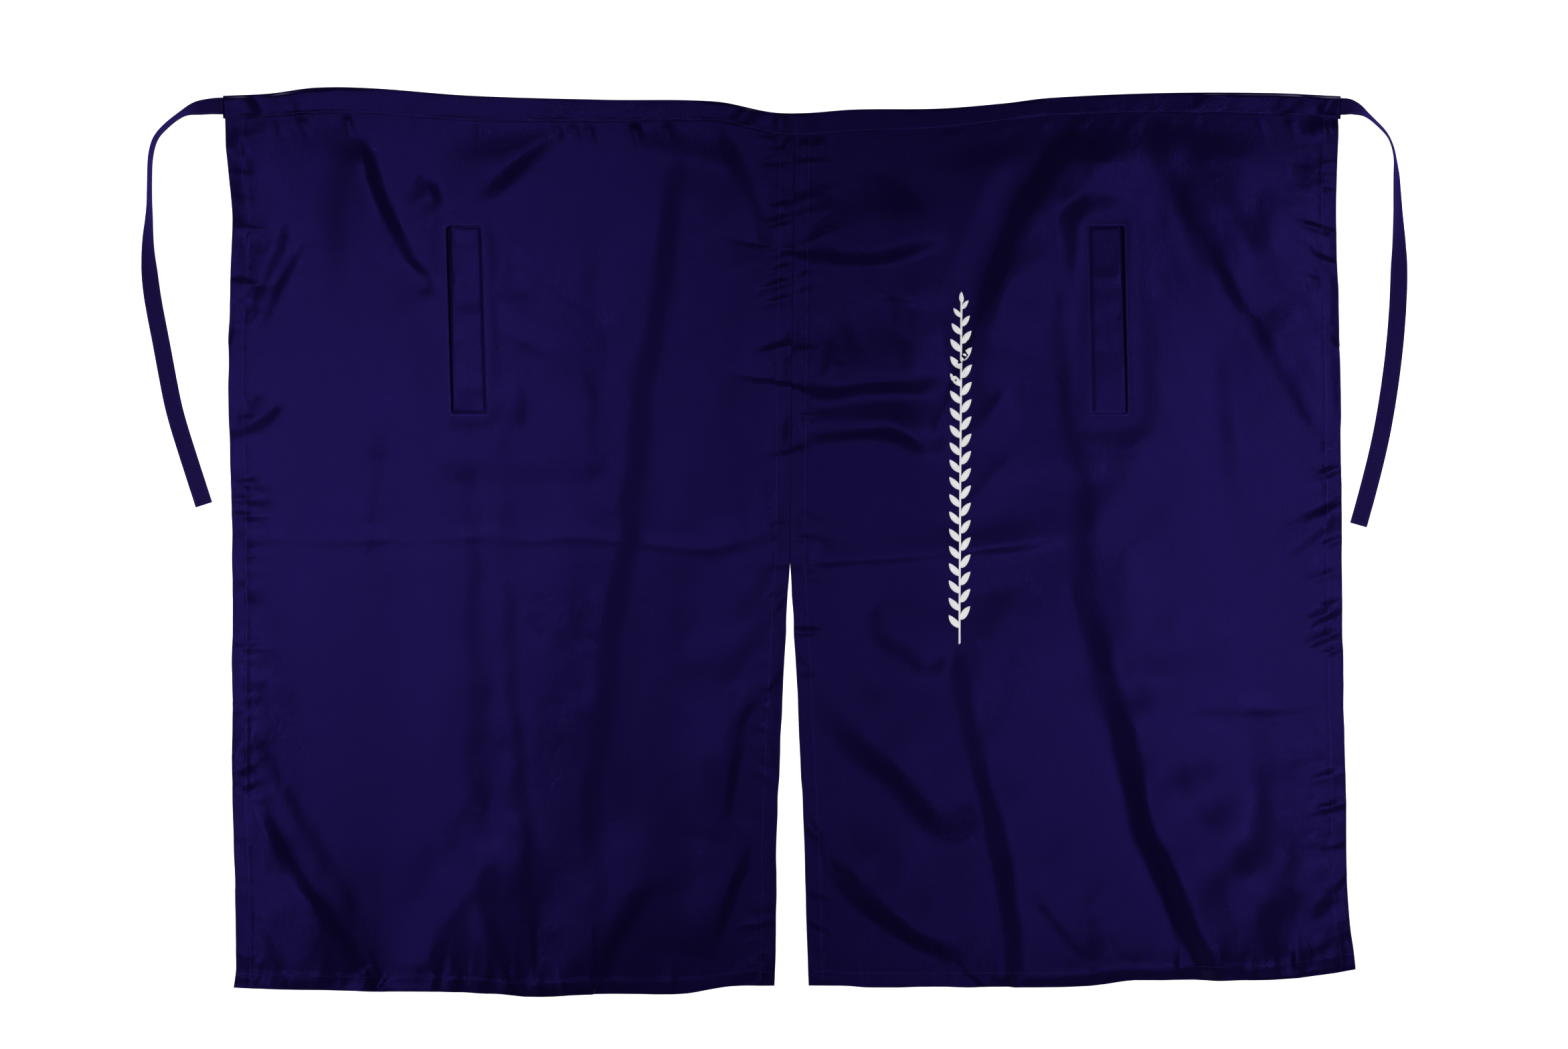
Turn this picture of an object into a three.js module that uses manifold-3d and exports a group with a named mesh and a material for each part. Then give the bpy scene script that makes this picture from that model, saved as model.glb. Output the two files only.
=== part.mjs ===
// A waist apron laid flat with its front side up: two cloth panels joined by a centre seam that
// opens into a slit, a folded waistband, two ties and two welt pockets.
// Millimetres. +X runs across the apron, +Y towards the waistband, +Z up from the table.
import * as THREE from 'three';
import { mergeVertices } from 'three/addons/utils/BufferGeometryUtils.js';
import Module from 'manifold-3d';

const wasm = await Module();
wasm.setup();

// Apron as a whole
const apronWidth = 1000; // side edge to side edge at the waist
const apronHeight = 800; // waist edge to bottom edge
const clothWall = 1; // one layer of cloth
const seamClearance = 0.3; // free space between pieces that are sewn together
const foldHeight = 11; // rise of the highest fold above the table
const flatBelow = 0.35; // cloth that would rise less than this lies on the table
const cellSize = 24; // longest grid step in a panel

// Hems, centre seam and slit
const hemWidth = 14; // cloth turned under along side, slit, seam and bottom edges
const hemStep = 3; // run over which a doubled hem thins to one layer
const slitLength = 381; // bottom edge to the slit's end
const slitOpening = 31; // between the two panels at the bottom edge

// Waistband
const bandHeight = 21; // folded edge to stitched lower edge
const bandGrip = 8; // how far the panels reach up into the band
const bandOverhang = 1; // band past the panels' side edges
const bandCells = 38; // sections along the band
const bandEase = 12; // run over which a panel comes down to the table below the band
const cornerGrip = 3; // reach of a panel's clipped top corner, beside a tie

// Ties
const tieLength = 405; // band end to free end
const tieWidth = 15.6;
const tieTuck = 9; // sewn length inside the band
const tieSettle = 30; // run over which a tie comes down from the band to the table
const tieCells = 34; // sections along a tie

// Pockets
const pocketTop = 119; // waist edge to the top of the pocket window
const pocketHeight = 168;
const pocketWidth = 31;
const weltGap = 3; // open strip between the panel's edge and the welt's free edge
const bagAllowance = 10; // bag past the window's open edge
const bagDepth = 118; // window's open edge to the bag's far seam
const bagAbove = 14; // bag above the window
const bagBelow = 40; // bag below the window
const bagSeam = 2; // closed seam round the bag
const bagMargin = 6; // raised cloth past the bag's outline
const bagEase = 16; // run over which the raised cloth comes down to the table

// Stacking heights
const bandLift = clothWall + seamClearance; // panel over the band's back layer
const bandFront = bandLift + clothWall + seamClearance; // underside of the band's front layer
const bagHeight = 2 * clothWall + seamClearance;
const bagLift = bagHeight + seamClearance; // panel and welt over the pocket bag

// One row for each side: the pocket's distance from the side edge, and its lean to the right
// on its way down, as sideways shift for each unit of height
const sides = {
  left: { outward: -1, pocketInset: 201, pocketLean: 0.03 },
  right: { outward: 1, pocketInset: 192, pocketLean: 0.02 },
};

// Waist edge: drop as a share of the apron's height, band as a share of the band's height
const waistLine = [
  { across: 0.0, drop: 0.0015, band: 0.98 },
  { across: 0.04, drop: -0.001, band: 1.05 },
  { across: 0.08, drop: -0.0075, band: 1.14 },
  { across: 0.13, drop: -0.007, band: 1.14 },
  { across: 0.22, drop: 0.0015, band: 1.1 },
  { across: 0.34, drop: 0.006, band: 0.98 },
  { across: 0.44, drop: 0.008, band: 0.9 },
  { across: 0.49, drop: 0.02, band: 0.95 },
  { across: 0.52, drop: 0.021, band: 1.0 },
  { across: 0.565, drop: 0.017, band: 1.0 },
  { across: 0.64, drop: 0.016, band: 0.9 },
  { across: 0.7, drop: 0.01, band: 0.81 },
  { across: 0.74, drop: 0.004, band: 0.83 },
  { across: 0.84, drop: -0.0015, band: 0.89 },
  { across: 0.94, drop: -0.0015, band: 0.96 },
  { across: 1.0, drop: 0.002, band: 0.98 },
];

// Bottom edge: drop below its straight line, as a share of the apron's height
const bottomLine = [
  { across: 0.0, drop: 0.003 },
  { across: 0.06, drop: 0.006 },
  { across: 0.16, drop: 0.008 },
  { across: 0.22, drop: 0.01 },
  { across: 0.255, drop: 0.014 },
  { across: 0.33, drop: 0.011 },
  { across: 0.42, drop: 0.01 },
  { across: 0.465, drop: 0.002 },
  { across: 0.52, drop: 0.001 },
  { across: 0.565, drop: 0.003 },
  { across: 0.76, drop: 0.0015 },
  { across: 0.8, drop: -0.004 },
  { across: 0.94, drop: -0.007 },
  { across: 1.01, drop: -0.019 },
];

// Side edges: shift towards +X as a share of the apron's width
const leftEdge = [
  { down: 0.0, shift: -0.001 },
  { down: 0.07, shift: 0.001 },
  { down: 0.14, shift: 0.006 },
  { down: 0.21, shift: 0.004 },
  { down: 0.32, shift: 0.0025 },
  { down: 0.5, shift: 0.0055 },
  { down: 0.76, shift: 0.006 },
  { down: 0.84, shift: 0.008 },
  { down: 0.98, shift: 0.009 },
  { down: 1.005, shift: 0.0065 },
];
const rightEdge = [
  { down: 0.0, shift: 0.0005 },
  { down: 0.12, shift: -0.002 },
  { down: 0.27, shift: 0.0 },
  { down: 0.5, shift: 0.003 },
  { down: 0.65, shift: 0.004 },
  { down: 0.8, shift: 0.0065 },
  { down: 0.9, shift: 0.008 },
  { down: 0.98, shift: 0.0145 },
];

// Centre seam: shift from the apron's middle as a share of its width
const seamLine = [
  { down: 0.0, shift: 0.0115 },
  { down: 0.5, shift: 0.0072 },
  { down: 0.8, shift: 0.0072 },
  { down: 1.0, shift: 0.0085 },
];

// Slit: how far it has opened at each share of its length, counted from its end
const slitLine = [
  { along: 0.0, open: 0.0 },
  { along: 0.1, open: 0.15 },
  { along: 0.4, open: 0.53 },
  { along: 0.65, open: 0.79 },
  { along: 0.85, open: 0.885 },
  { along: 1.0, open: 1.0 },
];

// Ties: heading in degrees, from straight out of the band towards the bottom edge, and tilt of
// the strip in degrees from lying flat. Along is a share of the free length.
const tieLines = {
  left: [
    { along: 0.0, heading: 6, tilt: 4 },
    { along: 0.05, heading: 10, tilt: 25 },
    { along: 0.09, heading: 32, tilt: 56 },
    { along: 0.15, heading: 47, tilt: 60 },
    { along: 0.19, heading: 74, tilt: 61 },
    { along: 0.24, heading: 88, tilt: 63 },
    { along: 0.31, heading: 89, tilt: 62 },
    { along: 0.37, heading: 86, tilt: 48 },
    { along: 0.43, heading: 91, tilt: 30 },
    { along: 0.48, heading: 95, tilt: 10 },
    { along: 0.56, heading: 100.5, tilt: 2 },
    { along: 0.73, heading: 101, tilt: 0 },
    { along: 0.83, heading: 107, tilt: 0 },
    { along: 1.0, heading: 108, tilt: 0 },
  ],
  right: [
    { along: 0.0, heading: 10, tilt: 4 },
    { along: 0.03, heading: 24, tilt: 30 },
    { along: 0.06, heading: 38, tilt: 62 },
    { along: 0.11, heading: 48, tilt: 69 },
    { along: 0.14, heading: 67, tilt: 72 },
    { along: 0.18, heading: 82, tilt: 70 },
    { along: 0.22, heading: 87, tilt: 60 },
    { along: 0.3, heading: 87, tilt: 48 },
    { along: 0.37, heading: 87.5, tilt: 30 },
    { along: 0.43, heading: 90, tilt: 8 },
    { along: 0.5, heading: 93, tilt: 2 },
    { along: 0.62, heading: 96.5, tilt: 0 },
    { along: 0.75, heading: 100, tilt: 0 },
    { along: 0.87, heading: 104, tilt: 0 },
    { along: 1.0, heading: 106, tilt: 0 },
  ],
};

// Folds of the cloth. half is a fold's half width as a share of the apron's width. A path's
// columns are across and down, as shares of the apron's width and height, and rise, as a share
// of foldHeight.
const folds = [
  { half: 0.016, path: [[0.098, 0.03, 0], [0.121, 0.086, 0.6], [0.141, 0.146, 0.7], [0.17, 0.205, 0]] },
  { half: 0.02, path: [[0.3, 0.028, 0], [0.285, 0.048, 0.5], [0.25, 0.085, 0.45], [0.215, 0.12, 0]] },
  { half: 0.03, path: [[0.4, 0.04, 0], [0.375, 0.18, 0.35], [0.345, 0.43, 0.4], [0.323, 0.62, 0.35],
    [0.308, 0.76, 0.35], [0.312, 0.92, 0]] },
  { half: 0.02, path: [[0.204, 0.47, 0], [0.205, 0.6, 0.28], [0.211, 0.75, 0.3], [0.217, 0.86, 0]] },
  { half: 0.02, path: [[0.238, 0.52, 0], [0.247, 0.65, 0.28], [0.253, 0.78, 0.3], [0.257, 0.89, 0]] },
  { half: 0.016, path: [[0.02, 0.79, 0], [0.045, 0.86, 0.6], [0.078, 0.92, 0.7], [0.112, 0.985, 0.4]] },
  { half: 0.018, path: [[0.02, 0.71, 0], [0.05, 0.78, 0.4], [0.091, 0.885, 0.45], [0.128, 0.985, 0.3]] },
  { half: 0.027, path: [[0.24, 0.83, 0], [0.215, 0.88, 0.35], [0.185, 0.94, 0.5], [0.158, 1.0, 0.45]] },
  { half: 0.02, path: [[0.405, 0.87, 0], [0.366, 0.9, 0.4], [0.349, 0.94, 0.45], [0.328, 0.99, 0.25]] },
  { half: 0.016, path: [[0.454, 0.68, 0], [0.449, 0.74, 0.4], [0.442, 0.8, 0.2], [0.446, 0.87, 0.45],
    [0.432, 0.95, 0]] },
  { half: 0.022, path: [[0.3, 0.03, 0], [0.34, 0.05, 0.35], [0.409, 0.088, 0.35], [0.461, 0.118, 0]] },
  { half: 0.014, path: [[0.084, 0.107, 0], [0.053, 0.142, 0.35], [0.035, 0.2, 0.35], [0.022, 0.25, 0]] },
  { half: 0.021, path: [[0.735, 0.026, 0.2], [0.717, 0.067, 0.6], [0.69, 0.12, 0.6], [0.66, 0.22, 0]] },
  { half: 0.018, path: [[0.772, 0.032, 0.2], [0.752, 0.085, 0.6], [0.722, 0.15, 0.6], [0.69, 0.26, 0]] },
  { half: 0.018, path: [[0.846, 0.03, 0.1], [0.866, 0.09, 0.5], [0.9, 0.165, 0.55], [0.942, 0.235, 0.4],
    [0.972, 0.34, 0]] },
  { half: 0.024, path: [[0.783, 0.37, 0], [0.785, 0.48, 0.35], [0.792, 0.58, 0.45], [0.806, 0.66, 0.5]] },
  { half: 0.034, path: [[0.8, 0.6, 0], [0.82, 0.7, 0.7], [0.84, 0.78, 1], [0.858, 0.845, 1],
    [0.876, 0.92, 0.7], [0.893, 0.985, 0.35]] },
  { half: 0.024, path: [[0.662, 0.63, 0], [0.684, 0.73, 0.5], [0.7, 0.8, 0.55], [0.713, 0.87, 0.5],
    [0.726, 0.985, 0.25]] },
  { half: 0.019, path: [[0.535, 0.66, 0], [0.573, 0.72, 0.5], [0.611, 0.76, 0.5], [0.655, 0.815, 0]] },
  { half: 0.019, path: [[0.54, 0.84, 0], [0.576, 0.88, 0.6], [0.602, 0.92, 0.65], [0.635, 0.94, 0.5],
    [0.66, 0.98, 0]] },
  { half: 0.015, path: [[0.535, 0.168, 0], [0.56, 0.166, 0.3], [0.6, 0.168, 0.25], [0.63, 0.174, 0]] },
  { half: 0.016, path: [[0.535, 0.315, 0], [0.56, 0.32, 0.4], [0.6, 0.325, 0.35], [0.644, 0.318, 0]] },
  { half: 0.016, path: [[0.532, 0.379, 0], [0.55, 0.365, 0.4], [0.592, 0.37, 0.35], [0.641, 0.392, 0]] },
];

const clothColour = new THREE.Color('#150d3e');

function clothMaterial(lightness) {
  const color = clothColour.clone().multiplyScalar(lightness);
  return new THREE.MeshStandardMaterial({ color, roughness: 0.8, metalness: 0, flatShading: true });
}

const { lerp, clamp, smoothstep, degToRad } = THREE.MathUtils;

// Reads one column of a table at any place, on a smooth curve through its rows.
function readTable(rows, place, column, at) {
  const last = rows.length - 1;
  const next = rows.findIndex((row) => row[place] > at);
  if (next === 0) return rows[0][column];
  if (next < 0) return rows[last][column];
  const slope = (k) => {
    const before = rows[Math.max(k - 1, 0)];
    const after = rows[Math.min(k + 1, last)];
    return (after[column] - before[column]) / (after[place] - before[place]);
  };
  const from = rows[next - 1];
  const to = rows[next];
  const run = to[place] - from[place];
  const t = (at - from[place]) / run;
  const ease = t * t * (3 - 2 * t);
  const leave = t * (1 - t) * (1 - t) * run * slope(next - 1);
  const arrive = t * t * (1 - t) * run * slope(next);
  return lerp(from[column], to[column], ease) + leave - arrive;
}

// Outlines, with x from the apron's middle and y from the waist line down
const acrossOf = (x) => x / apronWidth + 0.5;
const downOf = (y) => -y / apronHeight;
const waistY = (x) => -apronHeight * readTable(waistLine, 'across', 'drop', acrossOf(x));
const bandLowY = (x) => waistY(x) - bandHeight * readTable(waistLine, 'across', 'band', acrossOf(x));
const bottomY = (x) => -apronHeight * (1 + readTable(bottomLine, 'across', 'drop', acrossOf(x)));

function sideX(side, y) {
  const table = side === 'left' ? leftEdge : rightEdge;
  return apronWidth * (0.5 * sides[side].outward + readTable(table, 'down', 'shift', downOf(y)));
}

function innerX(side, y) {
  const along = clamp(1 - (y + apronHeight) / slitLength, 0, 1);
  const opening = seamClearance + slitOpening * readTable(slitLine, 'along', 'open', along);
  const seam = apronWidth * readTable(seamLine, 'down', 'shift', downOf(y));
  return seam + (sides[side].outward * opening) / 2;
}

const pocketMiddleY = -pocketTop - pocketHeight / 2;

// A point of a pocket: inward from the window's open edge, and up from its middle
function pocketX(side, inward, y) {
  const { outward, pocketInset, pocketLean } = sides[side];
  const openEdge = outward * (apronWidth / 2 - pocketInset);
  return openEdge - outward * inward - pocketLean * (y - pocketMiddleY);
}

// Height of the folds above the table
const foldPaths = folds.map(({ half, path }) => ({
  reach: half * apronWidth,
  points: path.map(([across, down, rise]) => (
    new THREE.Vector3((across - 0.5) * apronWidth, -down * apronHeight, rise * foldHeight)
  )),
}));

function foldAt(x, y) {
  let height = 0;
  for (const { reach, points } of foldPaths) {
    let best = 0;
    for (let i = 1; i < points.length; i += 1) {
      const from = points[i - 1];
      const to = points[i];
      const dx = to.x - from.x;
      const dy = to.y - from.y;
      const t = clamp(((x - from.x) * dx + (y - from.y) * dy) / (dx * dx + dy * dy), 0, 1);
      const distance = Math.hypot(x - from.x - t * dx, y - from.y - t * dy);
      const profile = distance < reach ? Math.cos((Math.PI / 2) * (distance / reach)) ** 2 : 0;
      best = Math.max(best, profile * lerp(from.z, to.z, smoothstep(t, 0, 1)));
    }
    height += best;
  }
  return Math.max(0, height - flatBelow);
}

// Grid lines of a panel. A guide is a named line with its own traits, and between two guides
// the lines are spread evenly.
function spreadLines(guides, middle) {
  const lines = [guides[0]];
  for (let k = 1; k < guides.length; k += 1) {
    const from = guides[k - 1];
    const to = guides[k];
    const run = Math.abs(to.at(middle) - from.at(middle));
    const steps = Math.max(1, Math.round(run / cellSize));
    for (let s = 1; s < steps; s += 1) {
      const t = s / steps;
      lines.push({
        at: (other) => lerp(from.at(other), to.at(other), t),
        raised: lerp(from.raised, to.raised, t),
        hem: lerp(from.hem, to.hem, t),
        band: lerp(from.band, to.band, t),
      });
    }
    lines.push(to);
  }
  return lines;
}

function guide(at, { name = '', raised = 0, hem = 0, band = 0 } = {}) {
  return { at, name, raised, hem, band };
}

function panelColumns(side) {
  const { outward } = sides[side];
  const fromSide = (inset) => (y) => sideX(side, y) - outward * inset;
  const fromInner = (inset) => (y) => innerX(side, y) + outward * inset;
  const fromPocket = (inward) => (y) => pocketX(side, inward, y);
  const guides = [
    guide(fromSide(0), { hem: 1 }),
    guide(fromSide(hemWidth), { hem: 1 }),
    guide(fromSide(hemWidth + hemStep)),
    guide(fromPocket(-bagAllowance - bagMargin - bagEase)),
    guide(fromPocket(-bagAllowance - bagMargin), { raised: 1 }),
    guide(fromPocket(0), { raised: 1, name: 'open edge' }),
    guide(fromPocket(pocketWidth), { raised: 1, name: 'sewn edge' }),
    guide(fromPocket(bagDepth + bagMargin), { raised: 1 }),
    guide(fromPocket(bagDepth + bagMargin + bagEase)),
    guide(fromInner(hemWidth + hemStep)),
    guide(fromInner(hemWidth), { hem: 1 }),
    guide(fromInner(0), { hem: 1 }),
  ];
  const lines = spreadLines(guides, pocketMiddleY);
  return outward < 0 ? lines : lines.reverse();
}

function panelRows(side) {
  const { outward } = sides[side];
  const clip = Math.max(hemWidth, tieTuck) + hemStep / 2;
  const clipped = (x) => Math.abs(x - sideX(side, pocketMiddleY)) < clip;
  const flat = (y) => () => y;
  const bagTop = -pocketTop + bagAbove;
  const bagBottom = -pocketTop - pocketHeight - bagBelow;
  const guides = [
    guide((x) => bandLowY(x) + (clipped(x) ? cornerGrip : bandGrip), { band: 1 }),
    guide((x) => bandLowY(x), { band: 1 }),
    guide((x) => bandLowY(x) - bandEase / 3, { band: 2 / 3 }),
    guide((x) => bandLowY(x) - bandEase),
    guide(flat(bagTop + bagMargin + bagEase)),
    guide(flat(bagTop + bagMargin), { raised: 1 }),
    guide(flat(-pocketTop), { raised: 1, name: 'window top' }),
    guide(flat(-pocketTop - pocketHeight), { raised: 1, name: 'window bottom' }),
    guide(flat(bagBottom - bagMargin), { raised: 1 }),
    guide(flat(bagBottom - bagMargin - bagEase)),
    guide((x) => bottomY(x) + hemWidth + hemStep),
    guide((x) => bottomY(x) + hemWidth, { hem: 1 }),
    guide((x) => bottomY(x), { hem: 1 }),
  ];
  return spreadLines(guides, (outward * apronWidth) / 4);
}

// A closed sheet from a grid of places. Each place has a top and an underside point, and cells
// that the test leaves out become a hole with walls of its own.
function closedSheet(grid, isHole) {
  const columnCount = grid.length;
  const rowCount = grid[0].length;
  const positions = [];
  for (const column of grid) {
    for (const place of column) {
      positions.push(place.x, place.y, place.top);
      positions.push(place.x, place.y, place.under);
    }
  }
  const top = ([i, j]) => 2 * (i * rowCount + j);
  const under = (corner) => top(corner) + 1;
  const solid = (i, j) => (
    i >= 0 && j >= 0 && i < columnCount - 1 && j < rowCount - 1 && !isHole(i, j)
  );
  const faces = [];
  for (let i = 0; i < columnCount - 1; i += 1) {
    for (let j = 0; j < rowCount - 1; j += 1) {
      if (!solid(i, j)) continue;
      const corners = [[i, j], [i, j + 1], [i + 1, j + 1], [i + 1, j]];
      const beside = [[i - 1, j], [i, j + 1], [i + 1, j], [i, j - 1]];
      const [a, b, c, d] = corners;
      faces.push(top(a), top(b), top(c), top(a), top(c), top(d));
      faces.push(under(a), under(c), under(b), under(a), under(d), under(c));
      beside.forEach((cell, edge) => {
        if (solid(...cell)) return;
        const p = corners[edge];
        const q = corners[(edge + 1) % 4];
        faces.push(top(q), top(p), under(p), top(q), under(p), under(q));
      });
    }
  }
  const geometry = new THREE.BufferGeometry();
  geometry.setAttribute('position', new THREE.Float32BufferAttribute(positions, 3));
  geometry.setIndex(faces);
  return geometry;
}

function panelGeometry(side) {
  const columns = panelColumns(side);
  const rows = panelRows(side);
  const grid = columns.map((column) => rows.map((row) => {
    const y = row.at(column.at(pocketMiddleY));
    const x = column.at(y);
    const raised = Math.min(column.raised, row.raised);
    const fold = foldAt(x, y) * (1 - raised) * (1 - row.band);
    const under = Math.max(bagLift * raised, bandLift * row.band) + fold;
    const hem = Math.max(column.hem, row.hem) * (1 - row.band);
    return { x, y, under, top: under + clothWall * (1 + hem) };
  }));
  const place = (lines, ...names) => (
    names.map((name) => lines.findIndex((line) => line.name === name)).sort((a, b) => a - b)
  );
  const [windowLeft, windowRight] = place(columns, 'open edge', 'sewn edge');
  const [windowTop, windowBottom] = place(rows, 'window top', 'window bottom');
  const isHole = (i, j) => (
    i >= windowLeft && i < windowRight && j >= windowTop && j < windowBottom
  );
  return closedSheet(grid, isHole);
}

// A closed body through a row of sections with the same number of corners. Each section's
// corners run counter-clockwise as seen from the far end, and a flat cap closes each end.
function closedRun(sections, outline) {
  const count = outline.length;
  const positions = sections.flat().flatMap((point) => point.toArray());
  const faces = [];
  for (let s = 0; s < sections.length - 1; s += 1) {
    for (let k = 0; k < count; k += 1) {
      const a = s * count + k;
      const b = s * count + ((k + 1) % count);
      faces.push(a, b, b + count, a, b + count, a + count);
    }
  }
  const far = (sections.length - 1) * count;
  for (const triangle of THREE.ShapeUtils.triangulateShape(outline, [])) {
    const clockwise = THREE.ShapeUtils.isClockWise(triangle.map((corner) => outline[corner]));
    const [a, b, c] = clockwise ? triangle.reverse() : triangle;
    faces.push(a, c, b, far + a, far + b, far + c);
  }
  const geometry = new THREE.BufferGeometry();
  geometry.setAttribute('position', new THREE.Float32BufferAttribute(positions, 3));
  geometry.setIndex(faces);
  return geometry;
}

// The band's hairpin section at one place along the waist, as height above its lower edge and
// height above the table
function bandSection(height) {
  const inside = height - clothWall;
  const thickness = bandFront + clothWall;
  return [
    [0, 0], [inside, 0], [height, clothWall], [height, bandFront], [inside, thickness],
    [0, thickness], [0, bandFront], [inside, bandFront], [inside, clothWall], [0, clothWall],
  ].map(([up, z]) => new THREE.Vector2(up, z));
}

function waistbandGeometry() {
  const start = sideX('left', 0) - bandOverhang;
  const end = sideX('right', 0) + bandOverhang;
  const sections = [];
  for (let s = 0; s <= bandCells; s += 1) {
    const x = lerp(start, end, s / bandCells);
    const low = bandLowY(x);
    const corners = bandSection(waistY(x) - low);
    sections.push(corners.map(({ x: up, y: z }) => new THREE.Vector3(x, low + up, z)));
  }
  const outline = bandSection(bandHeight);
  return closedRun(sections, outline);
}

// A tie is a flat strip that leaves the band's end, stands on its edge round the bend and lies
// flat again towards its free end.
function tieGeometry(side) {
  const { outward } = sides[side];
  const table = tieLines[side];
  const bandEnd = sideX(side, 0) + outward * bandOverhang;
  const hollowLow = bandLowY(bandEnd) + cornerGrip + seamClearance;
  const hollowHigh = waistY(bandEnd) - clothWall - seamClearance;
  const rootWidth = Math.min(tieWidth, (hollowHigh - hollowLow) * 0.95);
  const centre = new THREE.Vector2(bandEnd - outward * tieTuck, (hollowLow + hollowHigh) / 2);
  const step = (tieLength + tieTuck) / tieCells;
  const angleAt = (name, free) => {
    const angle = readTable(table, 'along', name, free / tieLength);
    return free < step / 2 ? 0 : degToRad(Math.max(0, angle));
  };
  const sections = [];
  for (let s = 0; s <= tieCells; s += 1) {
    const free = s * step - tieTuck;
    const between = angleAt('heading', free - step / 2);
    const forward = new THREE.Vector2(outward * Math.cos(between), -Math.sin(between));
    if (s > 0) centre.addScaledVector(forward, step);
    const heading = angleAt('heading', free);
    const tilt = angleAt('tilt', free);
    const settled = smoothstep(free, step, tieSettle);
    const width = lerp(rootWidth, tieWidth, settled);
    const outer = new THREE.Vector2(outward * Math.sin(heading), Math.cos(heading));
    const halfRun = (width / 2) * Math.cos(tilt);
    const halfRise = (width / 2) * Math.sin(tilt);
    const wallRun = clothWall * Math.sin(tilt);
    const wallRise = clothWall * Math.cos(tilt);
    const base = bandLift * (1 - settled);
    const corner = (run, z) => new THREE.Vector3(
      centre.x + outer.x * run,
      centre.y + outer.y * run,
      base + z,
    );
    const corners = [
      corner(halfRun, 0),
      corner(-halfRun, 2 * halfRise),
      corner(-halfRun + wallRun, 2 * halfRise + wallRise),
      corner(halfRun + wallRun, wallRise),
    ];
    sections.push(outward < 0 ? corners : corners.reverse());
  }
  const outline = [[0, 0], [1, 0], [1, 1], [0, 1]].map(([u, v]) => new THREE.Vector2(u, v));
  return closedRun(sections, outline);
}

// A slab of the pocket's own slanting outline, from its inward edges and its upper and lower edges
function pocketSlab(side, { near, far, low, high, under, top }) {
  const corners = [[near, low], [far, low], [far, high], [near, high]];
  const outline = new THREE.Shape(corners.map(([inward, y]) => (
    new THREE.Vector2(pocketX(side, inward, y), y)
  )));
  const slab = new THREE.ExtrudeGeometry(outline, { depth: top - under, bevelEnabled: false });
  return slab.translate(0, 0, under);
}

function weltGeometry(side) {
  return pocketSlab(side, {
    near: weltGap,
    far: pocketWidth - seamClearance,
    low: -pocketTop - pocketHeight + seamClearance,
    high: -pocketTop - seamClearance,
    under: bagLift,
    top: bagLift + clothWall,
  });
}

function toManifold(geometry) {
  const bare = geometry.clone();
  bare.deleteAttribute('normal');
  bare.deleteAttribute('uv');
  const merged = mergeVertices(bare);
  return new wasm.Manifold(new wasm.Mesh({
    numProp: 3,
    vertProperties: new Float32Array(merged.attributes.position.array),
    triVerts: new Uint32Array(merged.index.array),
  }));
}

function fromManifold(solid) {
  const { vertProperties, triVerts } = solid.getMesh();
  const geometry = new THREE.BufferGeometry();
  geometry.setAttribute('position', new THREE.Float32BufferAttribute(vertProperties, 3));
  geometry.setIndex(Array.from(triVerts));
  return geometry;
}

// The bag is a flat pouch: a back layer from the window's open edge to the far seam, and a front
// layer from the window's sewn edge, closed all round but at the window.
function bagGeometry(side) {
  const low = -pocketTop - pocketHeight - bagBelow;
  const high = -pocketTop + bagAbove;
  const pouch = { near: -bagAllowance, far: bagDepth, low, high, under: 0, top: bagHeight };
  const mouth = {
    near: -bagAllowance - bagSeam,
    far: pocketWidth,
    low: low - bagSeam,
    high: high + bagSeam,
    under: clothWall,
    top: bagHeight + clothWall,
  };
  const hollow = {
    near: pocketWidth - bagSeam,
    far: bagDepth - bagSeam,
    low: low + bagSeam,
    high: high - bagSeam,
    under: clothWall,
    top: clothWall + seamClearance,
  };
  const [body, ...cuts] = [pouch, mouth, hollow].map((slab) => toManifold(pocketSlab(side, slab)));
  return fromManifold(cuts.reduce((solid, cut) => solid.subtract(cut), body));
}

const apron = new THREE.Group();

function addPiece(name, geometry, material) {
  const mesh = new THREE.Mesh(geometry, material);
  geometry.computeVertexNormals();
  mesh.name = name;
  apron.add(mesh);
}

addPiece('waistband', waistbandGeometry(), clothMaterial(0.9));
for (const side of Object.keys(sides)) {
  addPiece(`${side}_panel`, panelGeometry(side), clothMaterial(1));
  addPiece(`${side}_tie`, tieGeometry(side), clothMaterial(1.2));
  addPiece(`${side}_pocket_welt`, weltGeometry(side), clothMaterial(1));
  addPiece(`${side}_pocket_bag`, bagGeometry(side), clothMaterial(0.6));
}

// The origin is on the table, in the middle of everything that lies on it
const bounds = new THREE.Box3().setFromObject(apron);
const middle = bounds.getCenter(new THREE.Vector3());
apron.position.set(-middle.x, -middle.y, -bounds.min.z);

const part = new THREE.Group();
part.add(apron);

export default part;
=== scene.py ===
"""A waist apron laid out flat on a pale floor and seen from straight above.

Lengths are metres. Apron coordinates have x from the apron's middle and y from its waist line,
negative towards the bottom edge. Tables give places as shares of the apron's width (across) and
height (down). Every piece is made in apron coordinates and then shifted onto the frame.
"""
import math
from types import SimpleNamespace

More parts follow.
